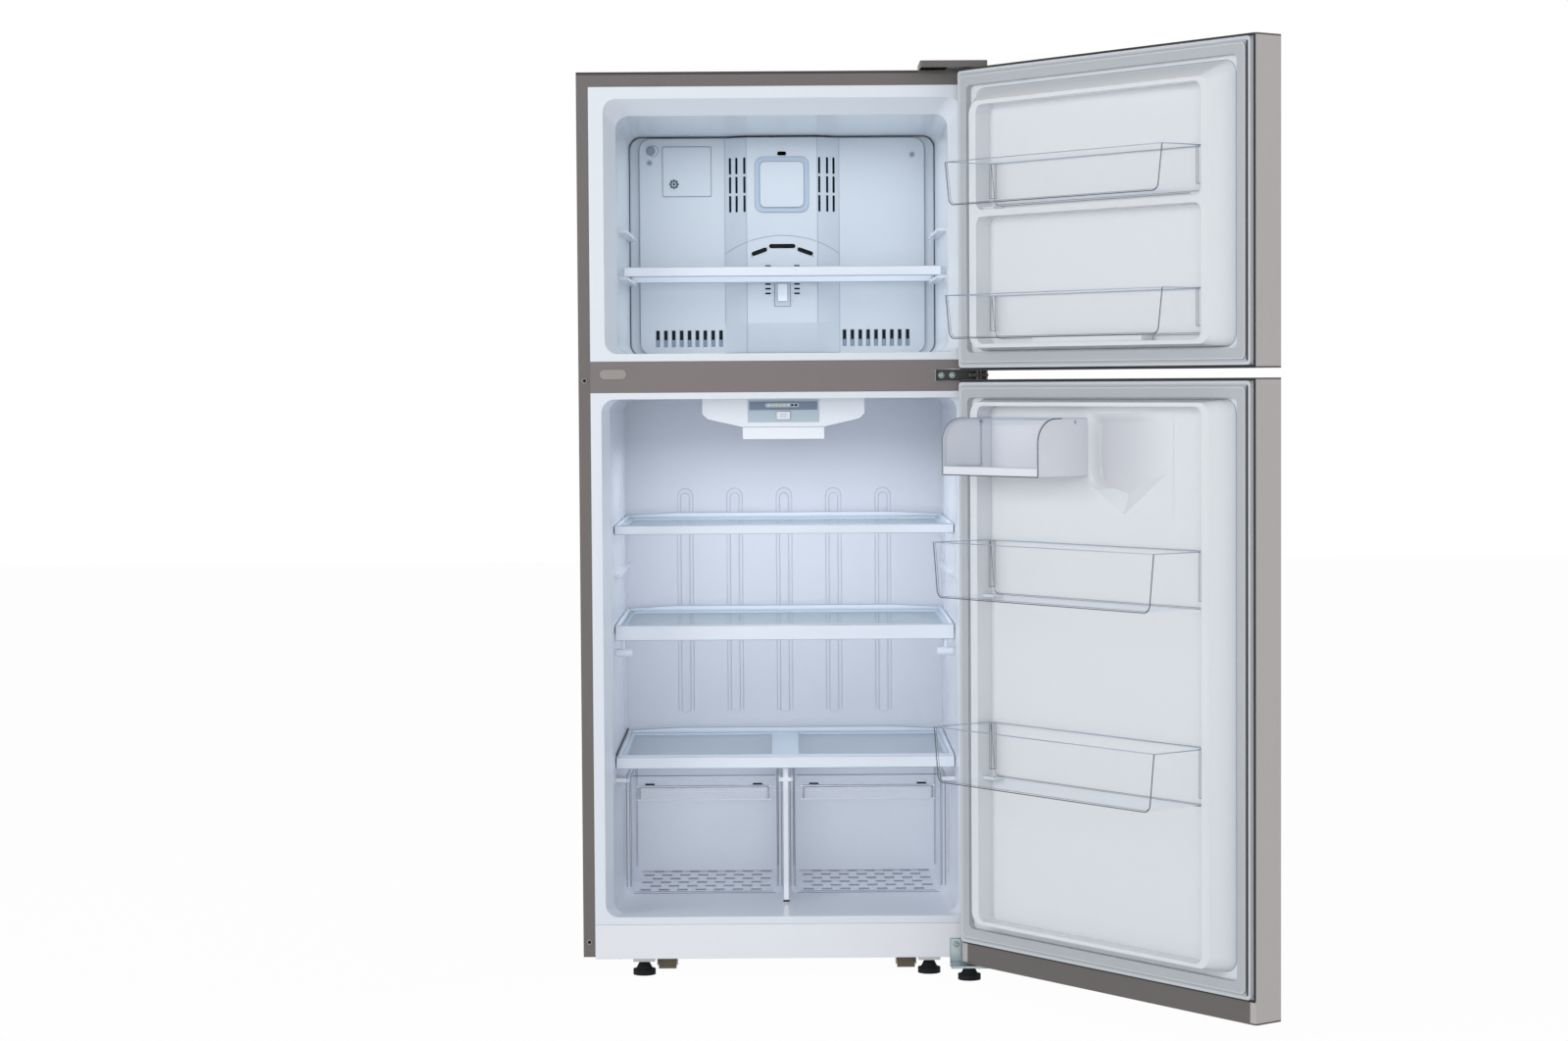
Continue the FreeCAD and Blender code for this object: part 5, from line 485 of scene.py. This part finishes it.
def finish_piece(thing, look, near):
    """Gives a piece its material, and the body of the CAD node that it belongs to."""
    scene.collection.objects.link(thing)
    thing.data.materials.append(MATERIALS[look])
    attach(thing, BODY_OF[near])
    return thing


def lines(name, near, look, radius, paths, closed=False):
    """Thin round beads along paths of points."""
    curve = bpy.data.curves.new(name, "CURVE")
    curve.dimensions = "3D"
    curve.bevel_depth = radius
    curve.bevel_resolution = 1
    curve.use_fill_caps = True
    for path in paths:
        spline = curve.splines.new("POLY")
        spline.points.add(len(path) - 1)
        for point, place in zip(spline.points, path):
            point.co = (*place, 1)
        spline.use_cyclic_u = closed
    finish_piece(bpy.data.objects.new(name, curve), look, near)


def across_line(start, end, y, z):
    """A straight path along X."""
    return [Vector((start, y, z)), Vector((end, y, z))]


def chains(edges):
    """Joins edges, given as pairs of vertex numbers, into the longest runs."""
    beside = {}
    for a, b in edges:
        beside.setdefault(a, set()).add(b)
        beside.setdefault(b, set()).add(a)
    runs = []
    starts = sorted(beside, key=lambda v: (len(beside[v]) == 2, v))
    for start in starts:
        while beside[start]:
            run = [start]
            while beside[run[-1]]:
                here = run[-1]
                after = min(beside[here])
                beside[here].discard(after)
                beside[after].discard(here)
                run.append(after)
                if len(beside[after]) != 1:
                    break
            runs.append(run)
    return runs


def edge_lines(name, node, look, radius, keep, angle, moved=None):
    """Beads along the sharp edges of a CAD node that keep(a, b) picks, where moved(point) puts them; a bead darker
    than its surface is painted shade along the edge, a paler one painted highlight.
    """
    mesh = bmesh.new()
    mesh.from_mesh(frame["nodes"][node].data)
    bmesh.ops.remove_doubles(mesh, verts=mesh.verts, dist=SAME_PLACE)
    limit = math.radians(angle)
    found = []
    for edge in mesh.edges:
        a, b = edge.verts
        if len(edge.link_faces) == 2 and edge.calc_face_angle(0) > limit and keep(a.co, b.co):
            found.append((a.index, b.index))
    places = [moved(vertex.co) if moved else vertex.co.copy() for vertex in mesh.verts]
    mesh.free()
    if not found:
        raise RuntimeError(f"{name} found no edges on {node}")
    lines(name, node, look, radius, [[places[v] for v in run] for run in chains(found)])


def any_edge(a, b):
    return True


def longer_than(length):
    return lambda a, b: (b - a).length > length


def in_front_of(depth):
    return lambda a, b: max(a.y, b.y) < depth


def rounded(across, up, radius, steps=5):
    """The points of a rounded rectangle, as (across, up) pairs."""
    points = []
    corners = ((1, 1, 0), (0, 1, 90), (0, 0, 180), (1, 0, 270))
    for right, top, start in corners:
        middle = (across[right] + (-radius if right else radius), up[top] + (-radius if top else radius))
        for step in range(steps + 1):
            turn = math.radians(start + 90 * step / steps)
            points.append((middle[0] + radius * math.cos(turn), middle[1] + radius * math.sin(turn)))
    return points


def capsule(start, end, half, steps=6):
    """The outline of a slot with round ends, from one centre to the other."""
    heading = math.atan2(end[1] - start[1], end[0] - start[0])
    points = []
    for middle, first in ((end, heading - math.pi / 2), (start, heading + math.pi / 2)):
        for step in range(steps + 1):
            turn = first + math.pi * step / steps
            points.append((middle[0] + half * math.cos(turn), middle[1] + half * math.sin(turn)))
    return points


def disc(x, z, radius):
    """The outline of a round head."""
    return capsule((x - THIN, z), (x + THIN, z), radius)


def plate(name, near, look, outline, front, back, bevel, holes=(), place=None):
    """A moulded plate: an outline in X and Z given a thickness along Y, its edges rounded."""
    curve = bpy.data.curves.new(name, "CURVE")
    curve.dimensions = "2D"
    curve.fill_mode = "BOTH"
    for points in (outline, *holes):
        spline = curve.splines.new("POLY")
        spline.points.add(len(points) - 1)
        for point, where in zip(spline.points, points):
            point.co = (where[0], where[1], 0, 1)
        spline.use_cyclic_u = True
    curve.extrude = (back - front) / 2 - bevel
    curve.bevel_depth = bevel
    curve.offset = -bevel
    curve.bevel_resolution = 1
    holder = bpy.data.objects.new(name + "_form", curve)
    scene.collection.objects.link(holder)
    mesh = bpy.data.meshes.new_from_object(holder.evaluated_get(bpy.context.evaluated_depsgraph_get()))
    bpy.data.objects.remove(holder)
    middle = (front + back) / 2
    for vertex in mesh.vertices:
        x, z, y = vertex.co
        spot = Vector((x, middle - y, z))
        vertex.co = place(spot) if place else spot
    mesh.name = name
    finish_piece(bpy.data.objects.new(name, mesh), look, near)


# ---------------------------------------------------------------- freezer

COVER_STEP = 0.025
DUCT_FLAT_HALF = 0.071
DUCT_FLANK = 0.044
LOUVRE_COLUMNS = (0.075, 0.091, 0.104)
LOUVRE_LOW = 1.444
LOUVRE_PITCH = 0.038
SMALL_SLOT_LEVELS = (1.281, 1.2904, 1.2998, 1.3092, 1.336)
GRILLE_INNER = 0.1245
GRILLE_PITCH = 0.0159
GRILLE_HALF = 0.0034
VENT_RIM = 0.0012


def duct_flank(x):
    """How far down its sloping flank the duct has come: 0 on its flat front, 1 at the panel."""
    return clamp((abs(x) - DUCT_FLAT_HALF) / DUCT_FLANK)


def on_cover(spot):
    return Vector((spot.x, spot.y + COVER_STEP * duct_flank(spot.x), spot.z))


def add_cover_details():
    """Painted shade in the evaporator cover's grooves and along its trims' edges, its vents, and the shroud behind
    it, black as painted shade behind the louvres.
    """
    low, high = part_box("evaporator_cover")
    front = low[1]
    seam_back = front + COVER_STEP + 0.0062
    shortest = 0.012

    def on_skin(a, b):
        shown = max(a.y, b.y) < seam_back and min(a.y, b.y) > front - ON_FACE
        return shown and (b - a).length > shortest

    # Painted shade: thin blue-grey lines in the cover's grooves and along its trims' edges.
    edge_lines("cover_edge_shade", "evaporator_cover", "shade_and_print", SKIN, on_skin, SOFT_ANGLE)
    edge_lines("trim_edge_shade", "evaporator_cover_trims", "shade_and_print", SKIN, any_edge, SHARP_ANGLE)
    arc_top, arc_radius, arc_pitch, arc_steps = 1.397, 0.203, 0.006, 19
    arc = []
    for step in range(-arc_steps, arc_steps + 1):
        x = arc_pitch * step
        z = arc_top - arc_radius + math.sqrt(arc_radius * arc_radius - x * x)
        arc.append(on_cover(Vector((x, front, z))))
    lines("cover_arc_shade", "evaporator_cover", "shade_and_print", 0.0005, [arc])
    add_vents(front)
    # The fan's shroud is black as painted shade behind the louvres.
    shroud_half, shroud_span, shroud_corner = 0.108, (1.245, 1.602), 0.02
    shroud = rounded((-shroud_half, shroud_half), shroud_span, shroud_corner)
    bell_radius, bell_level, bell_points = 0.047, 1.4903, 24
    turns = [2 * math.pi * point / bell_points for point in range(bell_points)]
    bell = [(bell_radius * math.cos(turn), bell_level + bell_radius * math.sin(turn)) for turn in turns]
    gap, depth = 0.001, 0.003
    shroud_front = high[1] + gap
    plate("fan_shroud_and_shade", "evaporator", "black", shroud, shroud_front, shroud_front + depth, 0.0006, [bell])


def add_vents(front):
    """Painted shade inside and on the evaporator cover's vents, and the thin raised rim round each, drawn pale as
    a painted highlight.
    """
    middle_vent = ((-0.0222, 1.3757), (0.0222, 1.3757))
    side_vents = [((sign * 0.0345, 1.3688), (sign * 0.0575, 1.3606)) for sign in (-1, 1)]
    # On the arch vents: pale rims as painted highlight, black capsules as painted shade.
    for look, half, proud in (("trim", 0.0056, 0.0004), ("black", 0.0044, 0.0008)):
        forms = [capsule(start, end, half) for start, end in (middle_vent, *side_vents)]
        name = f"arch_{look}"
        plate(name, "evaporator_cover", look, forms[0], front - proud, front + SKIN, THIN, forms[1:])
    louvre_half, louvre_ends = 0.0024, (0.0025, 0.0315)
    small_half, small_ends = 0.0019, (0.025, 0.033)
    lip_span, hole_span, grille_corner = (1.1751, 1.1890), (1.1890, 1.2079), 0.0006
    slots, deep, lips = [], [], []
    for sign in (-1, 1):
        for x in LOUVRE_COLUMNS:
            for row in range(3):
                level = LOUVRE_LOW + LOUVRE_PITCH * row
                low, high = (level + end for end in louvre_ends)
                slots.append(((sign * x, low), (sign * x, high), louvre_half))
        for level in SMALL_SLOT_LEVELS:
            inner, outer = (sign * end for end in small_ends)
            slots.append(((inner, level), (outer, level), small_half))
        for column in range(9):
            x = sign * (GRILLE_INNER + GRILLE_PITCH * column)
            across = (x - GRILLE_HALF, x + GRILLE_HALF)
            deep.append(rounded(across, hole_span, grille_corner, 2))
            lips.append(rounded(across, lip_span, grille_corner, 2))
    rims = []
    for start, end, half in slots:
        deep.append(capsule(start, end, half))
        rims += [capsule(start, end, half + VENT_RIM), capsule(start, end, half)]
    # In the openings: black plates, and blue-grey ones in the grilles' lower part, as painted shade.
    sunk_shade, floor = front + 0.0002, front + 0.0012
    cover = "evaporator_cover"
    plate("vent_rims", cover, "trim", rims[0], front - SKIN, front + SKIN, THIN, rims[1:], on_cover)
    plate("vent_shade", cover, "black", deep[0], sunk_shade, floor, THIN, deep[1:], on_cover)
    plate("vent_lips", cover, "shade_and_print", lips[0], sunk_shade, floor, THIN, lips[1:], on_cover)
    border = rounded((-0.0535, 0.0535), (1.444, 1.554), 0.016)
    inside = rounded((-0.0445, 0.0445), (1.453, 1.545), 0.0115)
    pad_front, pad_back = front - 0.0024, front - 0.0012
    plate("pad_border", "evaporator_cover_trims", "pad_ring", border, pad_front, pad_back, SKIN, [inside])


def add_slider_details():
    """The printed marks beside the air slider and its grip ribs."""
    low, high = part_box("freezer_slider")
    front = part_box("evaporator_cover")[0][1]
    middle = (low[2] + high[2]) / 2
    mark_x, mark_half, rib_half = 0.0195, 0.0012, 0.006
    marks = []
    for sign in (-1, 1):
        for level in (-0.016, 0.0, 0.016):
            x = sign * mark_x
            marks.append(across_line(x - mark_half, x + mark_half, front, middle + level))
    lines("slider_marks", "evaporator_cover", "shade_and_print", 0.0006, marks)
    levels = (-0.006, -0.002, 0.002, 0.006)
    ribs = [across_line(-rib_half, rib_half, low[1], middle + level) for level in levels]
    lines("slider_ribs", "freezer_slider", "white", 0.0005, ribs)
    edge_lines("slider_edges", "freezer_slider", "shade_and_print", SKIN, in_front_of(low[1] + 0.001), SHARP_ANGLE)


def add_cover_fixings():
    """The star of holes in the port's cover, the round plug and the screws of the evaporator cover."""
    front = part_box("evaporator_cover")[0][1] + COVER_STEP
    star_x, star_z, star_radius, hole_radius, points = -0.217, 1.502, 0.007, 0.0017, 8
    dots = []
    for number in range(points + 1):
        turn = 2 * math.pi * number / points
        reach = 0 if number == points else star_radius
        dots.append(disc(star_x + reach * math.cos(turn), star_z + reach * math.sin(turn), hole_radius))
    # The holes are drawn as black dots, as painted shade.
    star_front, star_back = front - 0.0014, front - 0.0006
    plate("star_dots", "evaporator_cover_trims", "black", dots[0], star_front, star_back, THIN, dots[1:])
    caps = (
        (-0.2635, 1.569, 0.0095, "plug", "plug"),
        (-0.266, 1.545, 0.0055, "faint", "line"),
        (0.262, 1.559, 0.0055, "faint", "line"),
    )
    rim_rise, dome = 0.0016, 0.001
    for number, (x, z, radius, face, core) in enumerate(caps):
        for look, share in (("shade_and_print", 1.0), (face, 0.84), (core, 0.34)):
            rise = rim_rise + (1 - share) * dome
            name = f"cover_cap_{number}_{round(share * 100)}"
            head = disc(x, z, radius * share)
            plate(name, "evaporator_cover_trims", look, head, front - rise, front + 0.0002, 0.0002)


# ---------------------------------------------------------------- fridge compartment

WALL_FACE = 0.649
WALL_PANEL_PITCH = 0.101
WALL_PANEL_LOW = 0.43
LIGHT_LOOKS = ("white", "lens", "lens", "lens", "lens", "white", "black", "black")
CONTROL_FRONT = 0.113


def add_wall_outlines():
    """The double outline of each raised panel on the back wall, drawn darker than the liner as painted shade along
    the panel's edges.
    """
    paths = []
    for number in range(-2, 3):
        x = number * WALL_PANEL_PITCH
        for half, level in ((0.016, 0.871), (0.009, 0.8682)):
            path = [Vector((x - half, WALL_FACE, WALL_PANEL_LOW))]
            for step in range(ARC_STEPS + 1):
                turn = math.pi - math.pi * step / ARC_STEPS
                path.append(Vector((x + half * math.cos(turn), WALL_FACE, level + half * math.sin(turn))))
            path.append(Vector((x + half, WALL_FACE, WALL_PANEL_LOW)))
            paths.append(path)
    lines("wall_outlines", "fridge_liner", "trace", 0.0006, paths)


def add_control_details():
    """The dark band, lights and button edge of the control panel."""
    low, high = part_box("control_panel")
    front = low[1]
    face, inset, band_height = front + 0.0008, 0.003, 0.019
    band = rounded((low[0] + inset, high[0] - inset), (high[2] - band_height, high[2] - inset), 0.001)
    plate("panel_band", "control_panel", "band", band, face - 0.0003, face + 0.0002, THIN)
    level, first_light, light_pitch = 1.060, -0.0265, 0.0072
    light_half, light_rise, light_corner = 0.0026, 0.0018, 0.0012
    light_span = (level - light_rise, level + light_rise)
    for number, look in enumerate(LIGHT_LOOKS):
        x = first_light + light_pitch * number
        ring = rounded((x - light_half, x + light_half), light_span, light_corner, 3)
        plate(f"light_{number}", "control_panel", look, ring, front - SKIN, front + 0.0002, THIN)
    pill_half, pill_corner = 0.004, 0.0039
    outline = rounded((-0.034, 0.030), (level - pill_half, level + pill_half), pill_corner)
    pill = [Vector((x, front + 0.0006, z)) for x, z in outline]
    lines("indicator_edge", "control_panel", "shade_and_print", 0.0003, [pill], True)
    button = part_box("control_button")[0][1]
    edge_lines("button_edges", "control_button", "shade_and_print", 0.0003, in_front_of(button + 0.001), SHARP_ANGLE)
    mark_half = 0.007
    marks = [across_line(-mark_half, mark_half, button, z) for z in (1.0385, 1.0425)]
    lines("button_marks", "control_button", "shade_and_print", SKIN, marks)
    edge_lines("housing_edges", "control_housing", "faint", 0.0006, in_front_of(CONTROL_FRONT), SOFT_ANGLE)
    edge_lines("lamp_edges", "lamp_cover", "faint", 0.0005, in_front_of(CONTROL_FRONT), SHARP_ANGLE)


def add_crisper_details(name):
    """A drawer's edges, the ribbed floor and the finger band across its face."""
    low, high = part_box(name)
    edge_lines(name + "_edges", name, "line", 0.0005, longer_than(0.02), SHARP_ANGLE)
    columns, rows = 7, 6
    rib_length, side_margin, first_row, row_margin = 0.020, 0.024, 0.03, 0.05
    rib_slack, rib_level = 0.004, low[2] + 0.0036
    start, width = low[0] + side_margin, high[0] - low[0] - 2 * side_margin
    depth = high[1] - low[1] - row_margin
    ribs = []
    for row in range(rows):
        y = low[1] + first_row + depth * row / (rows - 1)
        shift = 0.5 if row % 2 else 0.0
        for column in range(columns):
            x = start + width * (column + shift) / columns
            if x + rib_length < start + width + rib_slack:
                ribs.append(across_line(x, x + rib_length, y, rib_level))
    lines(name + "_ribs", name, "line", 0.0016, ribs)
    hook_inset, hook_half, hook_depth, hook_level = 0.045, 0.009, 0.004, 0.3425
    hooks = []
    for x in (low[0] + hook_inset, high[0] - hook_inset):
        hooks.append(across_line(x - hook_half, x + hook_half, low[1] + hook_depth, hook_level))
    lines(name + "_hooks", name, "black", 0.0018, hooks)
    band_inset = 0.02
    band = []
    for z in (0.3135, 0.3385):
        band.append(across_line(low[0] + band_inset, high[0] - band_inset, low[1] - SKIN, z))
    lines(name + "_band", name, "trim", 0.0008, band)


def add_shelf_edges():
    """Edges of the shelves' frames, painted shade in the gaps beside the cover and along the top of the toe panel,
    and a dark bar at the divider's foot.
    """
    for node in ("freezer_shelf_trim", "upper_shelf_frame", "lower_shelf_frame", "crisper_cover_frame"):
        edge_lines(node + "_edges", node, "faint", 0.0005, longer_than(0.01), SHARP_ANGLE)
    low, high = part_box("crisper_cover_frame")
    side = [Vector((low[0], low[1] + 0.004, high[2])), Vector((low[0], high[1] - 0.02, high[2]))]
    lines("cover_side_gap_shade", "crisper_cover_frame", "gap_shade", 0.0015, [side])
    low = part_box("crisper_rails")[0]
    foot_half, foot_rise = 0.006, 0.003
    foot = across_line(-foot_half, foot_half, low[1], low[2] + foot_rise)
    lines("divider_foot", "crisper_rails", "black", 0.002, [foot])
    low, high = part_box("toe_panel")
    # A dark line along the top of the toe panel: painted shade in the gap above it.
    gap_depth = 0.0007
    joint = across_line(low[0], high[0], low[1] + gap_depth, high[2])
    lines("toe_gap_shade", "toe_panel", "shade_and_print", 0.0009, [joint])


# ---------------------------------------------------------------- doors

GASKET_MARGIN = 0.005
BIN_BEAD = 0.001
DAIRY_HEIGHT = 0.101
DAIRY_ROUND = 0.042
DAIRY_RIM = 0.055
SCOOP_LEFT = -0.326
SCOOP_RIGHT = -0.545
SCOOP_TOP = 1.050
SCOOP_SHOULDER = 0.925
SCOOP_TIP = 0.862
SCOOP_DEPTH = 0.0145
SCOOP_FLOOR = DOOR_INNER + 0.0043
SCOOP_POINT = 0.40
SCOOP_BEND = 1.3
SCOOP_RISE = 0.040
SCOOP_FALL = 0.022
SCOOP_SIDE = 0.13
SCOOP_FADE = 0.62
SCOOP_STEPS = 56


def add_gasket_folds(name):
    """Painted shade in the gap round a door's gasket and down the fold on its free side, and painted highlight on
    its pale lips and ridge.
    """
    low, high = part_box(name)
    folds = (
        ("gap", "gap_shade", -0.0044, 0.0001, 0.0, 0.003),
        ("lip", "lip", 0.0004, 0.0052, 0.008, 0.006),
        ("ridge", "lip", 0.0097, 0.0120, 0.0115, 0.008),
    )
    for fold, look, outer, inner, face, corner in folds:
        rings = []
        for reach in (outer, inner):
            across = (DOOR_FREE + GASKET_MARGIN + reach, DOOR_HINGE - GASKET_MARGIN - reach)
            rings.append(rounded(across, (low[2] + reach, high[2] - reach), corner))
        back, front = DOOR_INNER + face - 0.0006, DOOR_INNER + face + 0.0003
        plate(f"{name}_{fold}", name, look, rings[0], back, front, THIN, rings[1:], on_door)
    fold_across, fold_inset, fold_corner = (0.0104, 0.0144), 0.007, 0.0018
    across = (DOOR_FREE + fold_across[0], DOOR_FREE + fold_across[1])
    strip = rounded(across, (low[2] + fold_inset, high[2] - fold_inset), fold_corner)
    back, front = DOOR_INNER + 0.0076, DOOR_INNER + 0.0085
    plate(f"{name}_fold", name, "gap_shade", strip, back, front, THIN, (), on_door)


def add_ring_crease_shade(name):
    """Painted shade: a dark line in the crease round the foot of the raised ring inside a door."""
    low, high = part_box(name)
    margin = 0.02
    crease_angle = 12

    def at_foot(a, b):
        one, two = in_door(a), in_door(b)
        near = max(abs(one.y - DOOR_INNER), abs(two.y - DOOR_INNER)) < ON_FACE
        inside = min(one.x, two.x) > DOOR_FREE + margin and max(one.x, two.x) < DOOR_HINGE - margin
        return near and inside and max(a.z, b.z) < high[2] - margin and min(a.z, b.z) > low[2] + margin

    edge_lines(name + "_crease", name, "shade_and_print", 0.0007, at_foot, crease_angle)


def add_bin_edges(node):
    """A clear bin's dark front outline, its pale rim and its fine other edges: painted shade along its edges and a
    painted highlight along its rim.
    """
    corners = [in_door(vertex.co) for vertex in frame["nodes"][node].data.vertices]
    front = max(corner.y for corner in corners)
    top = max(corner.z for corner in corners)
    middle = []
    for axis in (0, 1):
        spots = [corner[axis] for corner in corners]
        middle.append((min(spots) + max(spots)) / 2)

    def on_face(a, b):
        return min(in_door(a).y, in_door(b).y) > front - ON_FACE

    def on_rim(a, b):
        return min(a.z, b.z) > top - ON_FACE

    def on_outline(a, b):
        return on_face(a, b) and not on_rim(a, b)

    def elsewhere(a, b):
        return not on_face(a, b) and not on_rim(a, b)

    def drawn_in(point):
        """A point moved a bead's radius towards the middle of the bin, so that its beads stay inside it."""
        spot = in_door(point)
        for axis in (0, 1):
            spot[axis] += math.copysign(BIN_BEAD, middle[axis] - spot[axis])
        return on_door(spot)

    edge_lines(node + "_outline", node, "line", BIN_BEAD, on_outline, SHARP_ANGLE, drawn_in)
    edge_lines(node + "_rim", node, "faint", 0.0008, on_rim, SHARP_ANGLE, drawn_in)
    edge_lines(node + "_edges", node, "line", SKIN, elsewhere, SHARP_ANGLE, drawn_in)


def add_dairy_edges():
    """The edges of the dairy box and its lid, and a dark line round the quarter round of the box's ends and along
    its front foot, painted shade along those edges.
    """
    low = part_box("dairy_box")[0]
    spots = [in_door(vertex.co) for vertex in frame["nodes"]["dairy_box"].data.vertices]
    front = max(spot.y for spot in spots)
    ends = [min(spot.x for spot in spots), max(spot.x for spot in spots)]
    edge_lines("dairy_lid_edges", "dairy_lid", "faint", 0.0005, any_edge, SHARP_ANGLE)
    edge_lines("dairy_box_edges", "dairy_box", "trace", 0.0005, any_edge, SHARP_ANGLE)
    top = low[2] + DAIRY_HEIGHT
    paths = []
    for x in ends:
        path = [(x, front - DAIRY_RIM, top)]
        for turn in QUARTER:
            y = front - DAIRY_ROUND + DAIRY_ROUND * math.sin(turn)
            z = top - DAIRY_ROUND + DAIRY_ROUND * math.cos(turn)
            path.append((x, y, z))
        path.append((x, front, low[2]))
        paths.append([on_door(spot) for spot in path])
    paths.append([on_door((x, front, low[2])) for x in ends])
    lines("dairy_box_outline", "dairy_box", "line", 0.0011, paths)


def scoop_share(u, z):
    """How far the pitcher's scoop is sunk, from 0 to 1, at a share of its width and a height."""
    side = SCOOP_POINT if u < SCOOP_POINT else 1 - SCOOP_POINT
    lower = SCOOP_TIP + (SCOOP_SHOULDER - SCOOP_TIP) * abs((u - SCOOP_POINT) / side) ** SCOOP_BEND
    upright = ease((z - lower) / SCOOP_RISE) * ease((SCOOP_TOP - z) / SCOOP_FALL)
    return upright * ease(u / SCOOP_SIDE) * ease((1 - u) / SCOOP_FADE)


def add_scoop():
    """The smooth pitcher's scoop moulded in the fridge door's recess, steep at its left side, its shade painted on
    as a value at its points.
    """
    mesh = bmesh.new()
    grid = []
    shades = []
    for row in range(SCOOP_STEPS + 1):
        z = SCOOP_TIP + (SCOOP_TOP - SCOOP_TIP) * (row / SCOOP_STEPS)
        line = []
        for column in range(SCOOP_STEPS + 1):
            u = column / SCOOP_STEPS
            x = SCOOP_LEFT + (SCOOP_RIGHT - SCOOP_LEFT) * u
            share = scoop_share(u, z)
            line.append(mesh.verts.new(on_door((x, SCOOP_FLOOR - SCOOP_DEPTH * share, z))))
            # Painted shade: strongest where the scoop is sunk and towards its steep left wall, which faces away
            # from the light.
            shades.append((1 - u) * share)
        grid.append(line)
    for low, high in zip(grid, grid[1:]):
        for column in range(SCOOP_STEPS):
            around = low[column], low[column + 1], high[column + 1], high[column]
            mesh.faces.new(around).smooth = True
    data = bpy.data.meshes.new("door_scoop")
    mesh.to_mesh(data)
    mesh.free()
    data.attributes.new("sunk_shade", "FLOAT", "POINT").data.foreach_set("value", shades)
    finish_piece(bpy.data.objects.new("door_scoop", data), "scoop", "fridge_door_liner")


# ---------------------------------------------------------------- hinges and screws


def add_hinge_details():
    """Bright beads along the dark centre hinge's edges, painted highlight, and dark beads along the bottom hinge's
    edges, painted shade; and screws on both hinges and dark ones on the flange.
    """
    plate_front = -0.006

    def behind_front(a, b):
        return min(a.y, b.y) > plate_front

    edge_lines("centre_hinge_edge_highlights", "centre_hinge", "zinc", 0.0005, behind_front, SHARP_ANGLE)
    edge_lines("bottom_hinge_edges", "bottom_hinge", "shade_and_print", 0.0006, any_edge, SHARP_ANGLE)
    centre_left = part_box("centre_hinge")[0][0]
    bottom_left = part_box("bottom_hinge")[0][0]
    centre_level, bottom_level = 1.114, 0.058
    spots = (
        ("centre_hinge", centre_left + 0.011, centre_level),
        ("centre_hinge", centre_left + 0.031, centre_level),
        ("bottom_hinge", bottom_left + 0.012, bottom_level),
    )
    screw_back, head_rise, head_slope = -0.0040, 0.00156, 0.18
    for number, (near, x, z) in enumerate(spots):
        for look, radius in (("zinc", 0.0046), ("black", 0.0034), ("zinc", 0.0024)):
            rise = head_rise - head_slope * radius
            name = f"hinge_screw_{number}_{round(radius * 1e4)}"
            plate(name, near, look, disc(x, z, radius), screw_back - rise, screw_back, THIN)
    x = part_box("front_trims")[0][0] + 0.005
    radius, front, back = 0.0032, -0.0019, -0.0014
    for level in (1.1080, 0.0660):
        name = f"flange_screw_{round(level * 1000)}"
        plate(name, "front_trims", "black", disc(x, level, radius), front, back, THIN)


add_cover_details()
add_slider_details()
add_wall_outlines()
add_control_details()
add_crisper_details("crisper_left")
add_crisper_details("crisper_right")
add_shelf_edges()
add_gasket_folds("freezer_door_gasket")
add_gasket_folds("fridge_door_gasket")
for bin_name in ("freezer_bin_upper", "freezer_bin_lower", "fridge_bin_upper", "fridge_bin_lower"):
    add_bin_edges(bin_name)
add_ring_crease_shade("freezer_door_liner")
add_ring_crease_shade("fridge_door_liner")
add_dairy_edges()
add_cover_fixings()
add_hinge_details()
add_scoop()
